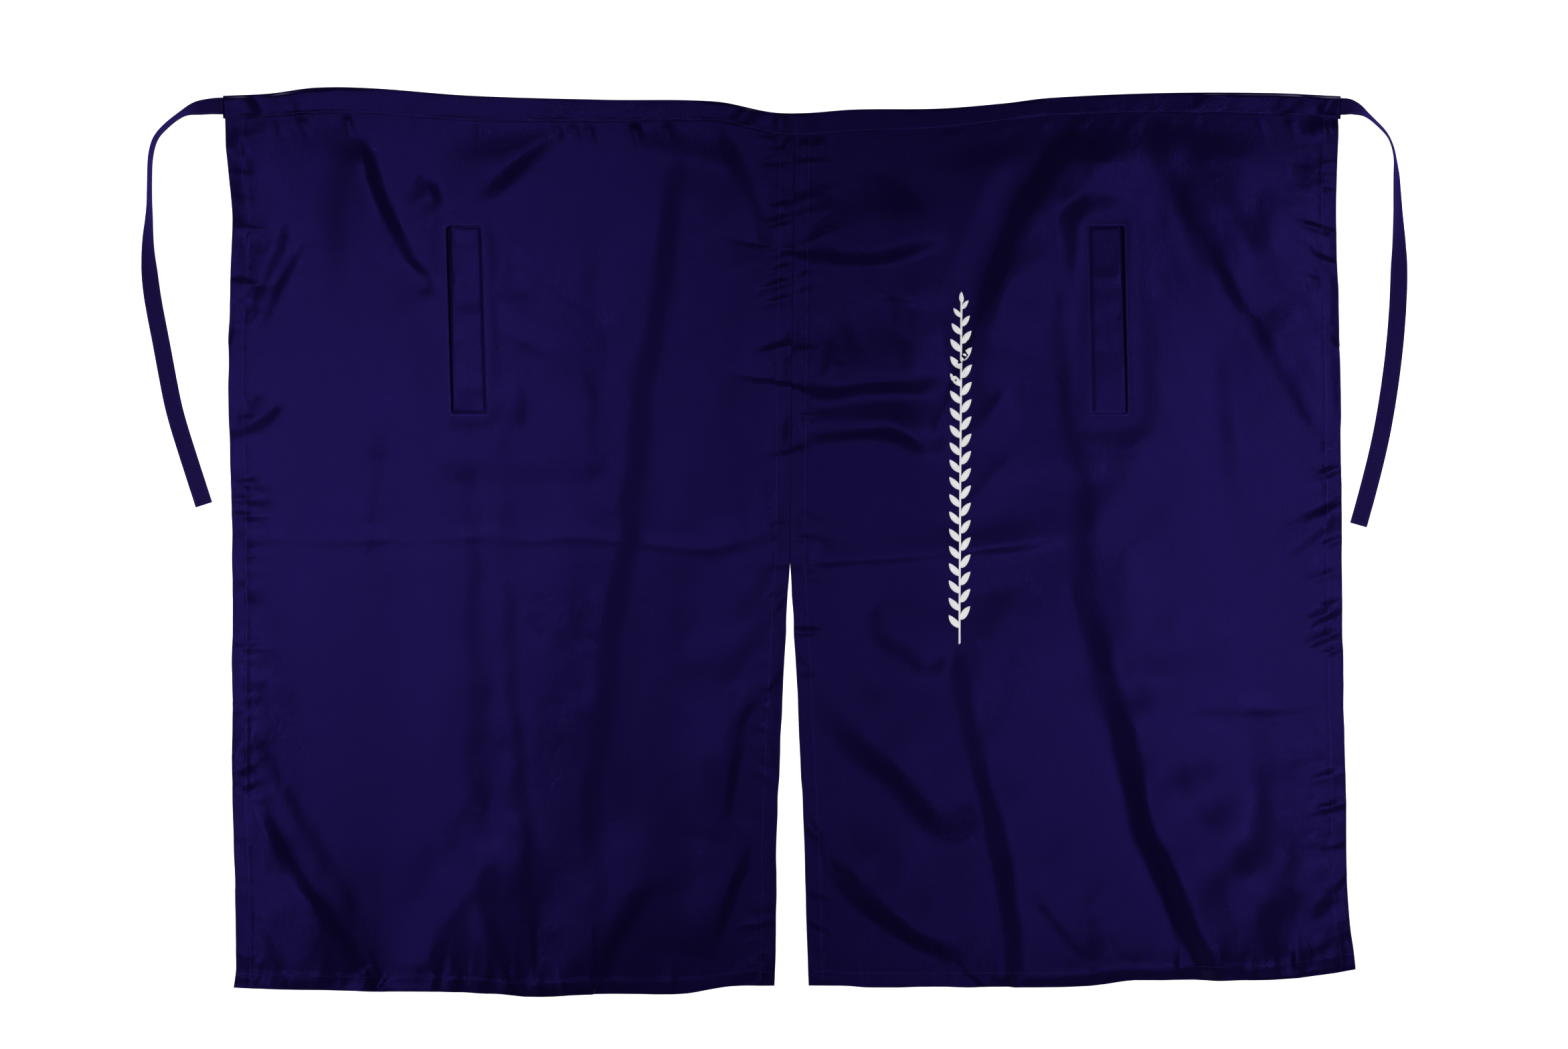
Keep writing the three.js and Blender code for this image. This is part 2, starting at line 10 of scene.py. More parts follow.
import bpy
import numpy as np
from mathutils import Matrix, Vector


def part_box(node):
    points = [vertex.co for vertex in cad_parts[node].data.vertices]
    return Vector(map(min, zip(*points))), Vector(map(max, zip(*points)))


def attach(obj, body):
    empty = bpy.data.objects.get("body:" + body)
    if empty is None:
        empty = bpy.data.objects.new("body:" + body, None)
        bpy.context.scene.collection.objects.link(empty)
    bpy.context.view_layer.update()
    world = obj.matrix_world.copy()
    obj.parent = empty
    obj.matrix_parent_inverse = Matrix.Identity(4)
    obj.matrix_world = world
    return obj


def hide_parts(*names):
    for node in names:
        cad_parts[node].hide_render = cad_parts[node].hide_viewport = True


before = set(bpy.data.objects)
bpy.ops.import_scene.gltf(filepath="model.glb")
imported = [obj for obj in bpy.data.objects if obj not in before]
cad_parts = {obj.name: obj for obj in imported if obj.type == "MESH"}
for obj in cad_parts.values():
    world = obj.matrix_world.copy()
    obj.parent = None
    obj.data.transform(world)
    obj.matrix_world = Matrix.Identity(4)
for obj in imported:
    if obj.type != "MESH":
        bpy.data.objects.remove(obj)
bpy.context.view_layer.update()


def table(columns, *rows):
    """A table's columns by name. The first column is the place that the others are read at."""
    return dict(zip(columns.split(), np.array(rows, float).T))


# Apron as a whole
APRON_WIDTH = 1.0
APRON_HEIGHT = 0.8
CLOTH = 0.0005  # one layer of cloth
FLOOR_GAP = 0.00005  # free space under the lying cloth
EDGE_RADIUS = 0.0006  # rounding of a folded edge
FRONT_STEP = 0.0026  # grid step of the front of a panel

# Hems, centre seam and slit
HEM_WIDTH = 0.0145
HEM_STITCH = 0.013  # edge to stitch line
HEM_LIFT = 0.0007  # of the cloth inside the hems
STITCH_DENT = 0.00018  # depth of the groove under a stitch line
FLOOR_EASE = 0.0005  # softens where the cloth meets the floor
HEM_STOPS = [  # grid lines from a hemmed edge inwards
    0, 0.00025, 0.0007, 0.0016, 0.0034, 0.0056, 0.0078, 0.01, 0.0116, 0.0126, 0.0134, 0.0142, 0.0156,
]
SLIT_LENGTH = 0.381
SLIT_OPENING = 0.031
SEAM_GAP = -0.0003  # the panels' edges meet inside the seam

# Waistband
BAND_OVERHANG = 0.001
BAND_GRIP = 0.008
BAND_EASE = 0.045  # height below the band in which folds flatten
BAND_CALM = 0.06  # the same for the cloth between folds
BAND_LIFT = 0.0005  # of the cloth that meets the band
BAND_STITCH = 0.0021  # lower edge to stitch line
CORNER_GRIP = 0.003
CORNER_REACH = 0.0155

# Ties
TIE_LENGTH = 0.405
TIE_WIDTH = 0.0156
TIE_TUCK = 0.009
TIE_SETTLE = 0.03
TIE_THICKNESS = 0.0009
TIE_STITCH = 0.0017  # edge to stitch line

# Pockets
POCKET_TOP = 0.119
POCKET_HEIGHT = 0.168
POCKET_WIDTH = 0.031
POCKET_MIDDLE = -POCKET_TOP - POCKET_HEIGHT / 2
POCKET_LOW = -POCKET_TOP - POCKET_HEIGHT
WINDOW_RADIUS = 0.003  # of its corners
WINDOW_STITCH = 0.0018  # window to stitch line
BAG_ALLOWANCE = 0.01
BAG_DEPTH = 0.118
BAG_GAP = 0.0004  # to the panel where the mouth is sewn up
BAG_LIFT = 0.0009  # of the panel over the bag
MOUTH_LIFT = 0.0008  # and around the window
POCKET_CALM = 0.03  # width of the smooth cloth around the window
BAG_ABOVE = 0.014
BAG_BELOW = 0.04

WAIST_LINE = table(
    "across drop band",
    (0.0, 0.0015, 0.98), (0.04, -0.001, 1.05), (0.08, -0.0075, 1.14), (0.13, -0.007, 1.14),
    (0.22, 0.0015, 1.1), (0.34, 0.006, 0.98), (0.44, 0.008, 0.9), (0.49, 0.02, 0.95),
    (0.52, 0.021, 1.0), (0.565, 0.017, 1.0), (0.64, 0.016, 0.9), (0.7, 0.01, 0.81),
    (0.74, 0.004, 0.83), (0.84, -0.0015, 0.89), (0.94, -0.0015, 0.96), (1.0, 0.002, 0.98),
)
BAND_HEIGHT = 0.021
BOTTOM_LINE = table(
    "across drop",
    (0.0, 0.003), (0.06, 0.006), (0.16, 0.008), (0.22, 0.01), (0.255, 0.014), (0.33, 0.011),
    (0.42, 0.01), (0.465, 0.002), (0.52, 0.001), (0.565, 0.003), (0.76, 0.0015), (0.8, -0.004),
    (0.94, -0.007), (1.01, -0.019),
)
LEFT_EDGE = table(
    "down shift",
    (0.0, -0.001), (0.07, 0.001), (0.14, 0.006), (0.21, 0.004), (0.32, 0.0025), (0.5, 0.0055),
    (0.76, 0.006), (0.84, 0.008), (0.98, 0.009), (1.005, 0.0065),
)
RIGHT_EDGE = table(
    "down shift",
    (0.0, 0.0005), (0.12, -0.002), (0.27, 0.0), (0.5, 0.003), (0.65, 0.004), (0.8, 0.0065),
    (0.9, 0.008), (0.98, 0.0145),
)
SEAM_LINE = table("down shift", (0.0, 0.0115), (0.5, 0.0072), (0.8, 0.0072), (1.0, 0.0085))
SLIT_LINE = table(
    "along open",
    (0.0, 0.0), (0.1, 0.15), (0.4, 0.53), (0.65, 0.79), (0.85, 0.885), (1.0, 1.0),
)
LEFT_TIE = table(
    "along heading tilt",
    (0.0, 6, 4), (0.05, 10, 25), (0.09, 32, 56), (0.15, 47, 60), (0.19, 74, 61), (0.24, 88, 63),
    (0.31, 89, 62), (0.37, 86, 48), (0.43, 91, 30), (0.48, 95, 10), (0.56, 100.5, 2),
    (0.73, 101, 0), (0.83, 107, 0), (1.0, 108, 0),
)
RIGHT_TIE = table(
    "along heading tilt",
    (0.0, 10, 4), (0.03, 24, 30), (0.06, 38, 62), (0.11, 48, 69), (0.14, 67, 72), (0.18, 82, 70),
    (0.22, 87, 60), (0.3, 87, 48), (0.37, 87.5, 30), (0.43, 90, 8), (0.5, 93, 2),
    (0.62, 96.5, 0), (0.75, 100, 0), (0.87, 104, 0), (1.0, 106, 0),
)
SIDES = [
    SimpleNamespace(
        name="left", outward=-1, edge=LEFT_EDGE, tie=LEFT_TIE, inset=0.201, lean=0.03, seed=11,
        gap=(0.004, 0.0012), level=0.0013,
    ),
    SimpleNamespace(
        name="right", outward=1, edge=RIGHT_EDGE, tie=RIGHT_TIE, inset=0.192, lean=0.02, seed=29,
        gap=(0.003, 0.0008), level=0.0026,
    ),
]

# Folds of the cloth. A fold has one steep flank, centred on its path, and one broad flank. The
# crest lies to the right (1) or left (-1) of a path that runs down, and above (1) or below (-1)
# one that runs to the right. The columns are crest, the steep and the broad flank's width, and the
# path, with across and down in thousandths and its rise. Widths and rises are in millimetres.
FOLDS = [
    # Left panel, upper part
    (-1, 8, 24, [(86, 28, 1.6), (55.3, 36, 2.8), (37, 47, 3.2), (15.6, 62, 2.4), (0, 66, 1.6)]),
    (-1, 10, 34, [(100, 80, 0), (72, 105, 1), (50, 165, 1.6), (26, 240, 1.6), (10, 270, 1)]),
    (-1, 8, 24, [(85, 142, 0), (62, 184, 1.2), (45, 236, 1.4), (29, 285, 0)]),
    (-1, 10, 45, [(100, -10, 1.8), (130, 84, 3), (148, 144, 3.4), (162, 180, 3), (180, 200, 2),
        (197, 205, 0.8)]),
    (-1, 9, 20, [(174, 88, 0), (188, 105, 1.8), (203, 135, 0)]),
    (-1, 11, 45, [(340, 0, 1), (309, 34, 2.4), (280, 65, 3.4), (250, 100, 3), (222, 132, 0)]),
    (1, 20, 60, [(280, 10, 0.8), (340, 44, 1.7), (409, 88, 1.6), (461, 118, 0.8), (480, 140, 0)]),
    (-1, 15, 70, [(422.5, 40, 0.6), (409, 96, 1.3), (395, 191, 1.7), (378, 330, 1.9), (360, 510, 1.9),
        (344, 660, 1.8), (330, 800, 1.6), (331, 930, 0.8)]),
    (-1, 10, 30, [(450, 30, 0.8), (459, 80, 2), (475, 130, 2), (489, 180, 0.6)]),
    (-1, 9, 30, [(255, 187, 0), (290, 215, 0.9), (326, 250, 1), (360, 262, 0)]),
    (-1, 14, 50, [(133, 200, 0), (134, 350, 0.9), (134, 500, 0.9), (132, 700, 0)]),
    # Left panel, beside the pocket and in the middle
    (1, 8, 20, [(0, 390, 1), (35, 368, 1.6), (62, 340, 0)]),
    (1, 6, 18, [(240, 268, 0.5), (270, 285, 1), (310, 320, 1), (335, 345, 0)]),
    (1, 6, 18, [(236, 220, 0.4), (260, 225, 0.9), (290, 220, 0)]),
    (1, 6, 16, [(236, 335, 0.8), (250, 352, 1.3), (264, 376, 0)]),
    (1, 6, 18, [(160, 265, 0), (180, 272, 0.9), (198, 275, 1)]),
    (1, 6, 18, [(163, 230, 0), (182, 226, 0.9), (197, 226, 1)]),
    (1, 3, 8, [(0, 507, 0.2), (70, 507, 0.35), (200, 504, 0.35), (300, 502, 0.35), (420, 513, 0.5),
        (434, 515, 0.5)]),
    (1, 5, 16, [(420, 516, 0), (450, 513, 1), (493, 497, 1.1)]),
    # Left panel, lower part
    (-1, 7, 18, [(0, 630, 0.8), (20, 650, 1.2), (40, 660, 0)]),
    (-1, 7, 18, [(0, 720, 0.8), (15, 735, 1.4), (30, 770, 0)]),
    (-1, 15, 60, [(216, 360, 0), (221, 480, 0.9), (224, 600, 1.4), (227, 750, 1.6), (235, 870, 1.4),
        (252, 980, 0.8)]),
    (-1, 12, 40, [(250, 450, 0), (256, 560, 0.9), (262, 700, 1.2), (268, 810, 1.4), (275, 930, 1.2)]),
    (-1, 12, 45, [(18, 765, 1), (50, 840, 4), (80, 900, 4.4), (103, 940, 4), (125, 985, 2)]),
    (-1, 12, 40, [(10, 690, 0.6), (35, 730, 1.8), (62, 800, 2.2), (90, 860, 2), (128, 960, 1)]),
    (-1, 9, 22, [(20, 917, 0.6), (36, 950, 1.8), (51, 990, 0.8)]),
    (1, 22, 46, [(250, 800, 0), (225, 850, 2), (185, 920, 2.6), (150, 985, 2.2)]),
    (-1, 13, 40, [(425, 875, 0), (380, 900, 3), (356, 940, 3.6), (337, 994, 2)]),
    (-1, 12, 40, [(466, 660, 0), (459, 740, 3.2), (451, 800, 2.4), (446, 840, 0)]),
    (-1, 12, 36, [(476, 820, 0), (468, 850, 2.4), (455, 900, 3.8), (443, 942, 3), (436, 975, 0)]),
    (-1, 8, 22, [(485.6, 540, 1.2), (472, 567, 1), (455, 600, 0)]),
    (-1, 9, 30, [(482, 600, 1), (458, 640, 2), (430, 690, 0)]),
    (-1, 8, 22, [(484, 670, 1.2), (468, 690, 1.6), (450, 730, 0)]),
    (-1, 9, 26, [(232, 900, 0), (244, 945, 1.2), (254, 990, 0.8)]),
    # Right panel, beside the seam
    (1, 13, 45, [(522, 178, 3), (561, 184, 5.8), (609, 179, 5.2), (650, 165, 0)]),
    (1, 6, 16, [(526, 238, 0.8), (537, 234, 1.4), (591, 230, 1.5), (621, 234, 1.4), (645, 239, 0)]),
    (1, 6, 18, [(591, 253, 0), (609, 262, 1.1), (630, 281, 1.1), (645, 287, 0)]),
    (1, 12, 40, [(522, 333, 4), (543, 337, 6), (579, 333, 6.2), (621, 328.6, 5), (650, 322, 0)]),
    (1, 12, 20, [(522, 394, 3), (540, 387, 4.6), (560, 383, 4.8), (597, 383, 4.8), (625, 396, 3.4),
        (645, 405, 0)]),
    (1, 11, 34, [(524, 98, 1), (550, 80, 2), (600, 66, 1.6), (650, 50, 0)]),
    (1, 6, 16, [(524, 60, 0.6), (545, 50, 1.2), (570, 46, 0)]),
    (1, 9, 22, [(705, 330, 0), (688, 345, 1.8), (674, 364, 0.8)]),
    (1, 7, 18, [(700, 400, 0), (690, 420, 1.2), (676, 440, 0.6)]),
    # Right panel, upper part
    (1, 15, 60, [(772, 10, 2), (748, 66, 6), (722, 120, 6.6), (700, 180, 6.2), (684, 232, 5.2),
        (671, 270, 2)]),
    (-1, 20, 50, [(742, 20, 0), (716, 66, 1.6), (694, 110, 2.2), (676, 165, 2), (664, 210, 1.2),
        (658, 250, 0)]),
    (1, 13, 60, [(810, -20, 2), (838, 60, 3), (862, 120, 4.2), (880, 165, 4.6), (904, 220, 4.4),
        (940, 290, 3.8), (975, 375, 2.6), (995, 430, 0)]),
    (1, 12, 36, [(862, 70, 0), (890, 105, 2.2), (927, 165, 2.8), (963, 225, 2.6), (992, 270, 1.6)]),
    (1, 12, 45, [(885, 250, 0), (895, 330, 1.2), (905, 420, 1.2), (912, 500, 0)]),
    # Right panel, lower part
    (1, 18, 90, [(770, 80, 0), (755, 140, 2.2), (747, 200, 2.6), (752, 285, 3), (760, 360, 3),
        (769, 420, 3), (769, 510, 3.6), (777, 590, 4.6), (790, 660, 7), (805, 730, 8.8), (820, 800, 9.4),
        (837, 860, 9.4), (855, 910, 8.8), (872, 950, 7.4), (886, 995, 5)]),
    (1, 16, 40, [(875, 760, 0), (887, 830, 1.8), (905, 880, 2.6), (918, 930, 2), (930, 980, 0)]),
    (1, 14, 60, [(640, 580, 0), (656, 640, 3), (670, 720, 4.4), (690, 810, 5), (702, 890, 4.6),
        (708, 990, 3)]),
    (1, 18, 55, [(526, 660, 1.6), (545, 700, 4.4), (573, 745, 5.4), (600, 775, 5.2), (630, 815, 4.4),
        (655, 850, 0)]),
    (1, 9, 24, [(534.5, 832, 0.6), (557.7, 871, 2), (572, 890, 0)]),
    (1, 14, 45, [(530, 840, 2), (553, 875, 4.4), (585, 920, 5.6), (610, 940, 4.8), (633, 955, 3.6),
        (660, 985, 1)]),
    (1, 14, 30, [(570, 600, 0), (590, 613, 3.2), (622, 640, 3), (640, 655, 0)]),
    (1, 11, 30, [(668, 585, 0), (690, 615, 2), (720, 650, 1.4), (740, 680, 0)]),
    (1, 6, 16, [(512, 530, 1.8), (580, 526, 2), (643.6, 521, 1.6), (700, 511, 2.2), (758, 503, 0.3)]),
    (1, 10, 26, [(715, 870, 0), (735, 910, 2), (752, 945, 2.2), (775, 980, 0.8)]),
    (1, 9, 22, [(778, 910, 0), (795, 945, 1.8), (813, 985, 0.8)]),
    (1, 4, 12, [(968, 700, 0), (978, 717, 1), (989, 735, 0)]),
    (1, 3, 10, [(850, 698.5, 0), (900, 695, 0.45), (1000, 688, 0.45)]),
    (1, 10, 30, [(933, 554, 0), (960, 520, 1.2), (986, 498, 0.6)]),
    (1, 9, 22, [(972, 929, 0), (985, 910, 1.4), (996, 895, 1)]),
    (1, 9, 22, [(958, 990, 0), (975, 965, 1.6), (996, 950, 1)]),
]

STEEP_SCALE = 2  # of every steep flank's width
BROAD_SCALE = 1.8
RISE_SCALE = 1.5
FOLD_FOOT = 0.12  # share of a fold's rise in a wide, gentle foot before its steep flank
FOLD_WANDER = 0.0032  # how far the folds stray from their paths
FOLD_PATCHINESS = 0.22  # how much their height varies along the way
PUCKER_HEIGHT = 0.00312  # of the ripples beside a stitch line
PUCKER_REACH = 0.016

# Frame
ORIGIN = np.array([
    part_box("waistband")[0][0] + APRON_WIDTH / 2 + 0.002,
    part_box("left_pocket_welt")[1][1] + POCKET_TOP + 0.0003,
    0.0,
])


# Small maths

def smooth(t):
    """Eases from 0 to 1 while t runs from 0 to 1."""
    t = np.clip(t, 0, 1)
    return t * t * (3 - 2 * t)


def soft(t):
    """Eases from 0 to 1 like smooth, with longer, softer ends."""
    t = np.clip(t, 0, 1)
    return t**3 * (t * (6 * t - 15) + 10)


def lerp(a, b, t):
    return a + (b - a) * t


def read(rows, column, at):
    """One column of a table at any places, on a smooth curve through its rows."""
    place = next(iter(rows.values()))
    value = rows[column]
    slope = np.gradient(value, place, edge_order=1)
    slope[1:-1] = (value[2:] - value[:-2]) / (place[2:] - place[:-2])
    at = np.clip(at, place[0], place[-1])
    k = np.clip(np.searchsorted(place, at, side="right") - 1, 0, len(place) - 2)
    run = place[k + 1] - place[k]
    t = (at - place[k]) / run
    leave = t * (1 - t) ** 2 * run * slope[k]
    arrive = t**2 * (1 - t) * run * slope[k + 1]
    return lerp(value[k], value[k + 1], smooth(t)) + leave - arrive


def waves(x, y, cell_x, cell_y, seed):
    """Smooth random waves from -1 to 1, with one random value for each cell."""
    size = 512
    lattice = np.random.default_rng(seed).uniform(-1, 1, (size, size))
    u = np.asarray(x / cell_x + size / 2)
    v = np.asarray(y / cell_y + size / 2)
    i = np.floor(u).astype(int)
    j = np.floor(v).astype(int)
    s = smooth(u - i)
    t = smooth(v - j)

    def corner(di, dj):
        return lattice[(i + di) % size, (j + dj) % size]

    return lerp(lerp(corner(0, 0), corner(1, 0), s), lerp(corner(0, 1), corner(1, 1), s), t)


# Outlines

def across(x):
    return x / APRON_WIDTH + 0.5


def down(y):
    return -y / APRON_HEIGHT


def waist_y(x):
    return -APRON_HEIGHT * read(WAIST_LINE, "drop", across(x))


def band_low_y(x):
    return waist_y(x) - BAND_HEIGHT * read(WAIST_LINE, "band", across(x))


def bottom_y(x):
    ripple = 0.0005 * waves(x, 0 * x, 0.022, 1, 5)
    return ripple - APRON_HEIGHT * (1 + read(BOTTOM_LINE, "drop", across(x)))


def side_x(side, y):
    straight = APRON_WIDTH * (0.5 * side.outward + read(side.edge, "shift", down(y)))
    return straight + 0.0005 * waves(y, 0 * y, 0.022, 1, side.seed)


def inner_x(side, y):
    along = np.clip(1 - (y + APRON_HEIGHT) / SLIT_LENGTH, 0, 1)
    opening = SEAM_GAP + SLIT_OPENING * read(SLIT_LINE, "open", along)
    seam = APRON_WIDTH * read(SEAM_LINE, "shift", down(y))
    ripple = 0.0004 * waves(y, 0 * y, 0.018, 1, side.seed + 1) * smooth(along / 0.08)
    return seam + side.outward * opening / 2 + ripple


def pocket_x(side, inward, y):
    """Across the pocket: inward from the window's open edge, at height y."""
    open_edge = side.outward * (APRON_WIDTH / 2 - side.inset)
    return open_edge - side.outward * inward - side.lean * (y - POCKET_MIDDLE)


def pocket_inward(side, x, y):
    open_edge = side.outward * (APRON_WIDTH / 2 - side.inset)
    return side.outward * (open_edge - side.lean * (y - POCKET_MIDDLE) - x)


# Relief of the cloth

def smooth_path(points, steps=8):
    """A finer path on a smooth curve through the points, whose columns are x, y and rise."""
    p = np.array(points, float)
    p = np.vstack([2 * p[0] - p[1], p, 2 * p[-1] - p[-2]])
    t = np.linspace(0, 1, steps, endpoint=False)[:, None]
    pieces = []
    for a, b, c, d in zip(p, p[1:], p[2:], p[3:]):
        bend, twist = 2 * a - 5 * b + 4 * c - d, 3 * b - a - 3 * c + d
        pieces.append((2 * b + (c - a) * t + bend * t**2 + twist * t**3) / 2)
    return np.vstack([*pieces, p[-2]])


def fold_paths():
    """The folds in metres and apron coordinates."""
    found = []
    for crest, steep, broad, points in FOLDS:
        at_across, at_down, rise = np.array(points, float).T / 1000
        x, y = (at_across - 0.5) * APRON_WIDTH, -at_down * APRON_HEIGHT
        path = np.column_stack([x, y, RISE_SCALE * rise])
        found.append((crest, STEEP_SCALE * steep / 1000, BROAD_SCALE * broad / 1000, smooth_path(path)))
    return found


FOLD_PATHS = fold_paths()


def fold_height(x, y, crest, steep, broad, path):
    """Height of one fold at each of many points."""
    start, end = path[:-1], path[1:]
    run = end[:, :2] - start[:, :2]
    length2 = (run**2).sum(axis=1)
    px = x[:, None] - start[:, 0]
    py = y[:, None] - start[:, 1]
    t = np.clip((px * run[:, 0] + py * run[:, 1]) / length2, 0, 1)
    away_x = px - t * run[:, 0]
    away_y = py - t * run[:, 1]
    distance = np.hypot(away_x, away_y)
    nearest = np.argmin(distance, axis=1)
    rows = np.arange(len(x))
    turn = run[nearest, 0] * away_y[rows, nearest] - run[nearest, 1] * away_x[rows, nearest]
    towards = crest * np.sign(turn) * distance[rows, nearest]
    rise = lerp(start[nearest, 2], end[nearest, 2], t[rows, nearest])
    flank = soft((towards + steep / 2) / steep)
    foot = soft((towards + 2 * steep) / (2.5 * steep))
    climb = lerp(flank, foot, FOLD_FOOT)
    fall = 1 - smooth((towards - steep / 4) / broad)
    return rise * climb * fall


def folds_at(x, y):
    height = np.zeros_like(x)
    astray_x, astray_y = waves(x, y, 0.03, 0.045, 91), waves(x, y, 0.045, 0.03, 92)
    x, y = x + FOLD_WANDER * astray_x, y + FOLD_WANDER * astray_y
    for crest, steep, broad, path in FOLD_PATHS:
        reach = steep + broad
        low = path[:, :2].min(axis=0) - reach
        high = path[:, :2].max(axis=0) + reach
        near = (x > low[0]) & (x < high[0]) & (y > low[1]) & (y < high[1])
        if near.any():
            height[near] += fold_height(x[near], y[near], crest, steep, broad, path)
    return height * (1 + FOLD_PATCHINESS * waves(x, y, 0.035, 0.035, 93))


def undulation(x, y, seed):
    """Gentle unevenness that runs down the cloth."""
    return (
        0.0017 * waves(x, y, 0.07, 0.26, seed)
        + 0.0006 * waves(x, y, 0.028, 0.09, seed + 1)
        + 0.0003 * waves(x + 0.3 * y, y, 0.013, 0.022, seed + 2)
        + 0.00009 * waves(x, y + 0.4 * x, 0.006, 0.005, seed + 14)
    )


def edge_distances(side, x, y):
    d = SimpleNamespace(
        side=side.outward * (side_x(side, y) - x),
        inner=side.outward * (x - inner_x(side, y)),
        bottom=y - bottom_y(x),
        band=band_low_y(x) - y,
    )
    d.near = np.minimum(np.minimum(d.side, d.inner), d.bottom)
    return d


def window_distance(side, x, y):
    """Distance from the rounded outline of the pocket window, negative inside."""
    inward = pocket_inward(side, x, y)
    qx = np.abs(inward - POCKET_WIDTH / 2) - (POCKET_WIDTH / 2 - WINDOW_RADIUS)
    qy = np.abs(y - POCKET_MIDDLE) - (POCKET_HEIGHT / 2 - WINDOW_RADIUS)
    outside = np.hypot(np.maximum(qx, 0), np.maximum(qy, 0))
    return outside + np.minimum(np.maximum(qx, qy), 0) - WINDOW_RADIUS


def bag_cover(side, x, y):
    """1 over the pocket bag, easing to 0 around it."""
    ease = 0.026
    inward = pocket_inward(side, x, y)
    out_x = np.maximum(-BAG_ALLOWANCE - inward, inward - BAG_DEPTH)
    out_y = np.maximum(y + POCKET_TOP - BAG_ABOVE, POCKET_LOW - BAG_BELOW - y)
    return 1 - smooth(np.hypot(np.maximum(out_x, 0), np.maximum(out_y, 0)) / ease)


def round_edge(distance):
    """0 at an edge, rising on a quarter round to 1."""
    t = np.clip(distance / EDGE_RADIUS, 0, 1)
    return np.sqrt(1 - (1 - t) ** 2)


def puckers(along, distance, seed, stitch=HEM_STITCH):
    """Small ripples that a stitch line pulls up in the cloth, across the line."""
    slanted = along + 0.4 * distance * waves(along, 0 * along, 0.15, 1, seed + 3)
    inside = np.where(distance > stitch, np.exp(-(((distance - stitch) / PUCKER_REACH) ** 2)), 0)
    hem = np.where(distance <= stitch, 0.35 + 0.65 * smooth(distance / stitch), 0)
    patch = smooth(0.55 + 0.8 * waves(along, 0 * along, 0.07, 1, seed + 2))
    coarse = waves(slanted, distance, 0.007, 0.05, seed)
    fine = waves(slanted, distance, 0.0035, 0.02, seed + 1)
    pull = np.maximum(coarse, 0) * (0.2 + 0.8 * patch) + np.maximum(fine, 0) / 12
    return PUCKER_HEIGHT * pull * (inside + hem)


def groove(distance, place, width=0.0009):
    return np.exp(-(((distance - place) / width) ** 2))


def panel_layers(side, x, y):
    """Thickness of the cloth, doubled at the hems and rounded at every edge."""
    d = edge_distances(side, x, y)
    hem = 1 - smooth((d.near - HEM_WIDTH + 0.0006) / 0.0012)
    window = window_distance(side, x, y)
    rounding = np.minimum(round_edge(d.near), round_edge(window))
    return CLOTH * (1 + hem) * lerp(0.35, 1, rounding)


def panel_under(side, x, y):
    """Height of a panel's underside above the floor."""
    d = edge_distances(side, x, y)
    window = window_distance(side, x, y)
    cover = bag_cover(side, x, y)
    calm = smooth((window - 0.002) / POCKET_CALM)
    base = HEM_LIFT * smooth(d.near / 0.03)
    plain = base + undulation(x, y, side.seed + 3) * smooth(d.near / 0.01)
    relief = plain * smooth(d.band / BAND_CALM) + folds_at(x, y) * smooth(d.band / BAND_EASE)
    relief = (relief + np.sqrt(relief**2 + FLOOR_EASE**2)) / 2
    relief = lerp(side.level, relief, calm)
    bag = BAG_LIFT * cover + MOUTH_LIFT * (1 - smooth((window - 0.004) / 0.012))
    band = BAND_LIFT * (1 - smooth(d.band / BAND_CALM))
    pull = puckers(y, d.side, side.seed + 5) + puckers(y, d.inner, side.seed + 7)
    pull += puckers(x, d.bottom, side.seed + 9)
    stitched = groove(d.side, HEM_STITCH) + groove(d.inner, HEM_STITCH) + groove(d.bottom, HEM_STITCH)
    pull += puckers(x, d.band, side.seed + 13, 0.002)
    dents = (pull - STITCH_DENT * np.minimum(stitched, 1)) * smooth(d.band / 0.008)
    return FLOOR_GAP + np.maximum(relief + bag + band + dents, 0)


def panel_top(side, x, y):
    return panel_under(side, x, y) + panel_layers(side, x, y)


# Meshes

def mesh_object(name, points, faces, material):
    """A new piece from its points and faces in apron coordinates."""
    used = np.unique(np.concatenate([np.asarray(f).ravel() for f in faces]))
    number = np.full(len(points), -1)
    number[used] = np.arange(len(used))
    loops = np.concatenate([number[np.asarray(f)].ravel() for f in faces])
    sizes = np.concatenate([np.full(len(f), np.asarray(f).shape[1]) for f in faces])
    mesh = bpy.data.meshes.new(name)
    mesh.vertices.add(len(used))
    mesh.vertices.foreach_set("co", (points[used] + ORIGIN).astype(np.float32).ravel())
    mesh.loops.add(len(loops))
    mesh.loops.foreach_set("vertex_index", loops.astype(np.int32))
    mesh.polygons.add(len(sizes))
    mesh.polygons.foreach_set("loop_start", (np.cumsum(sizes) - sizes).astype(np.int32))
    mesh.polygons.foreach_set("use_smooth", np.ones(len(sizes), bool))
    mesh.update(calc_edges=True)
    mesh.validate()
    mesh.materials.append(material)
    piece = bpy.data.objects.new(name, mesh)
    bpy.context.scene.collection.objects.link(piece)
    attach(piece, "root")
    return piece


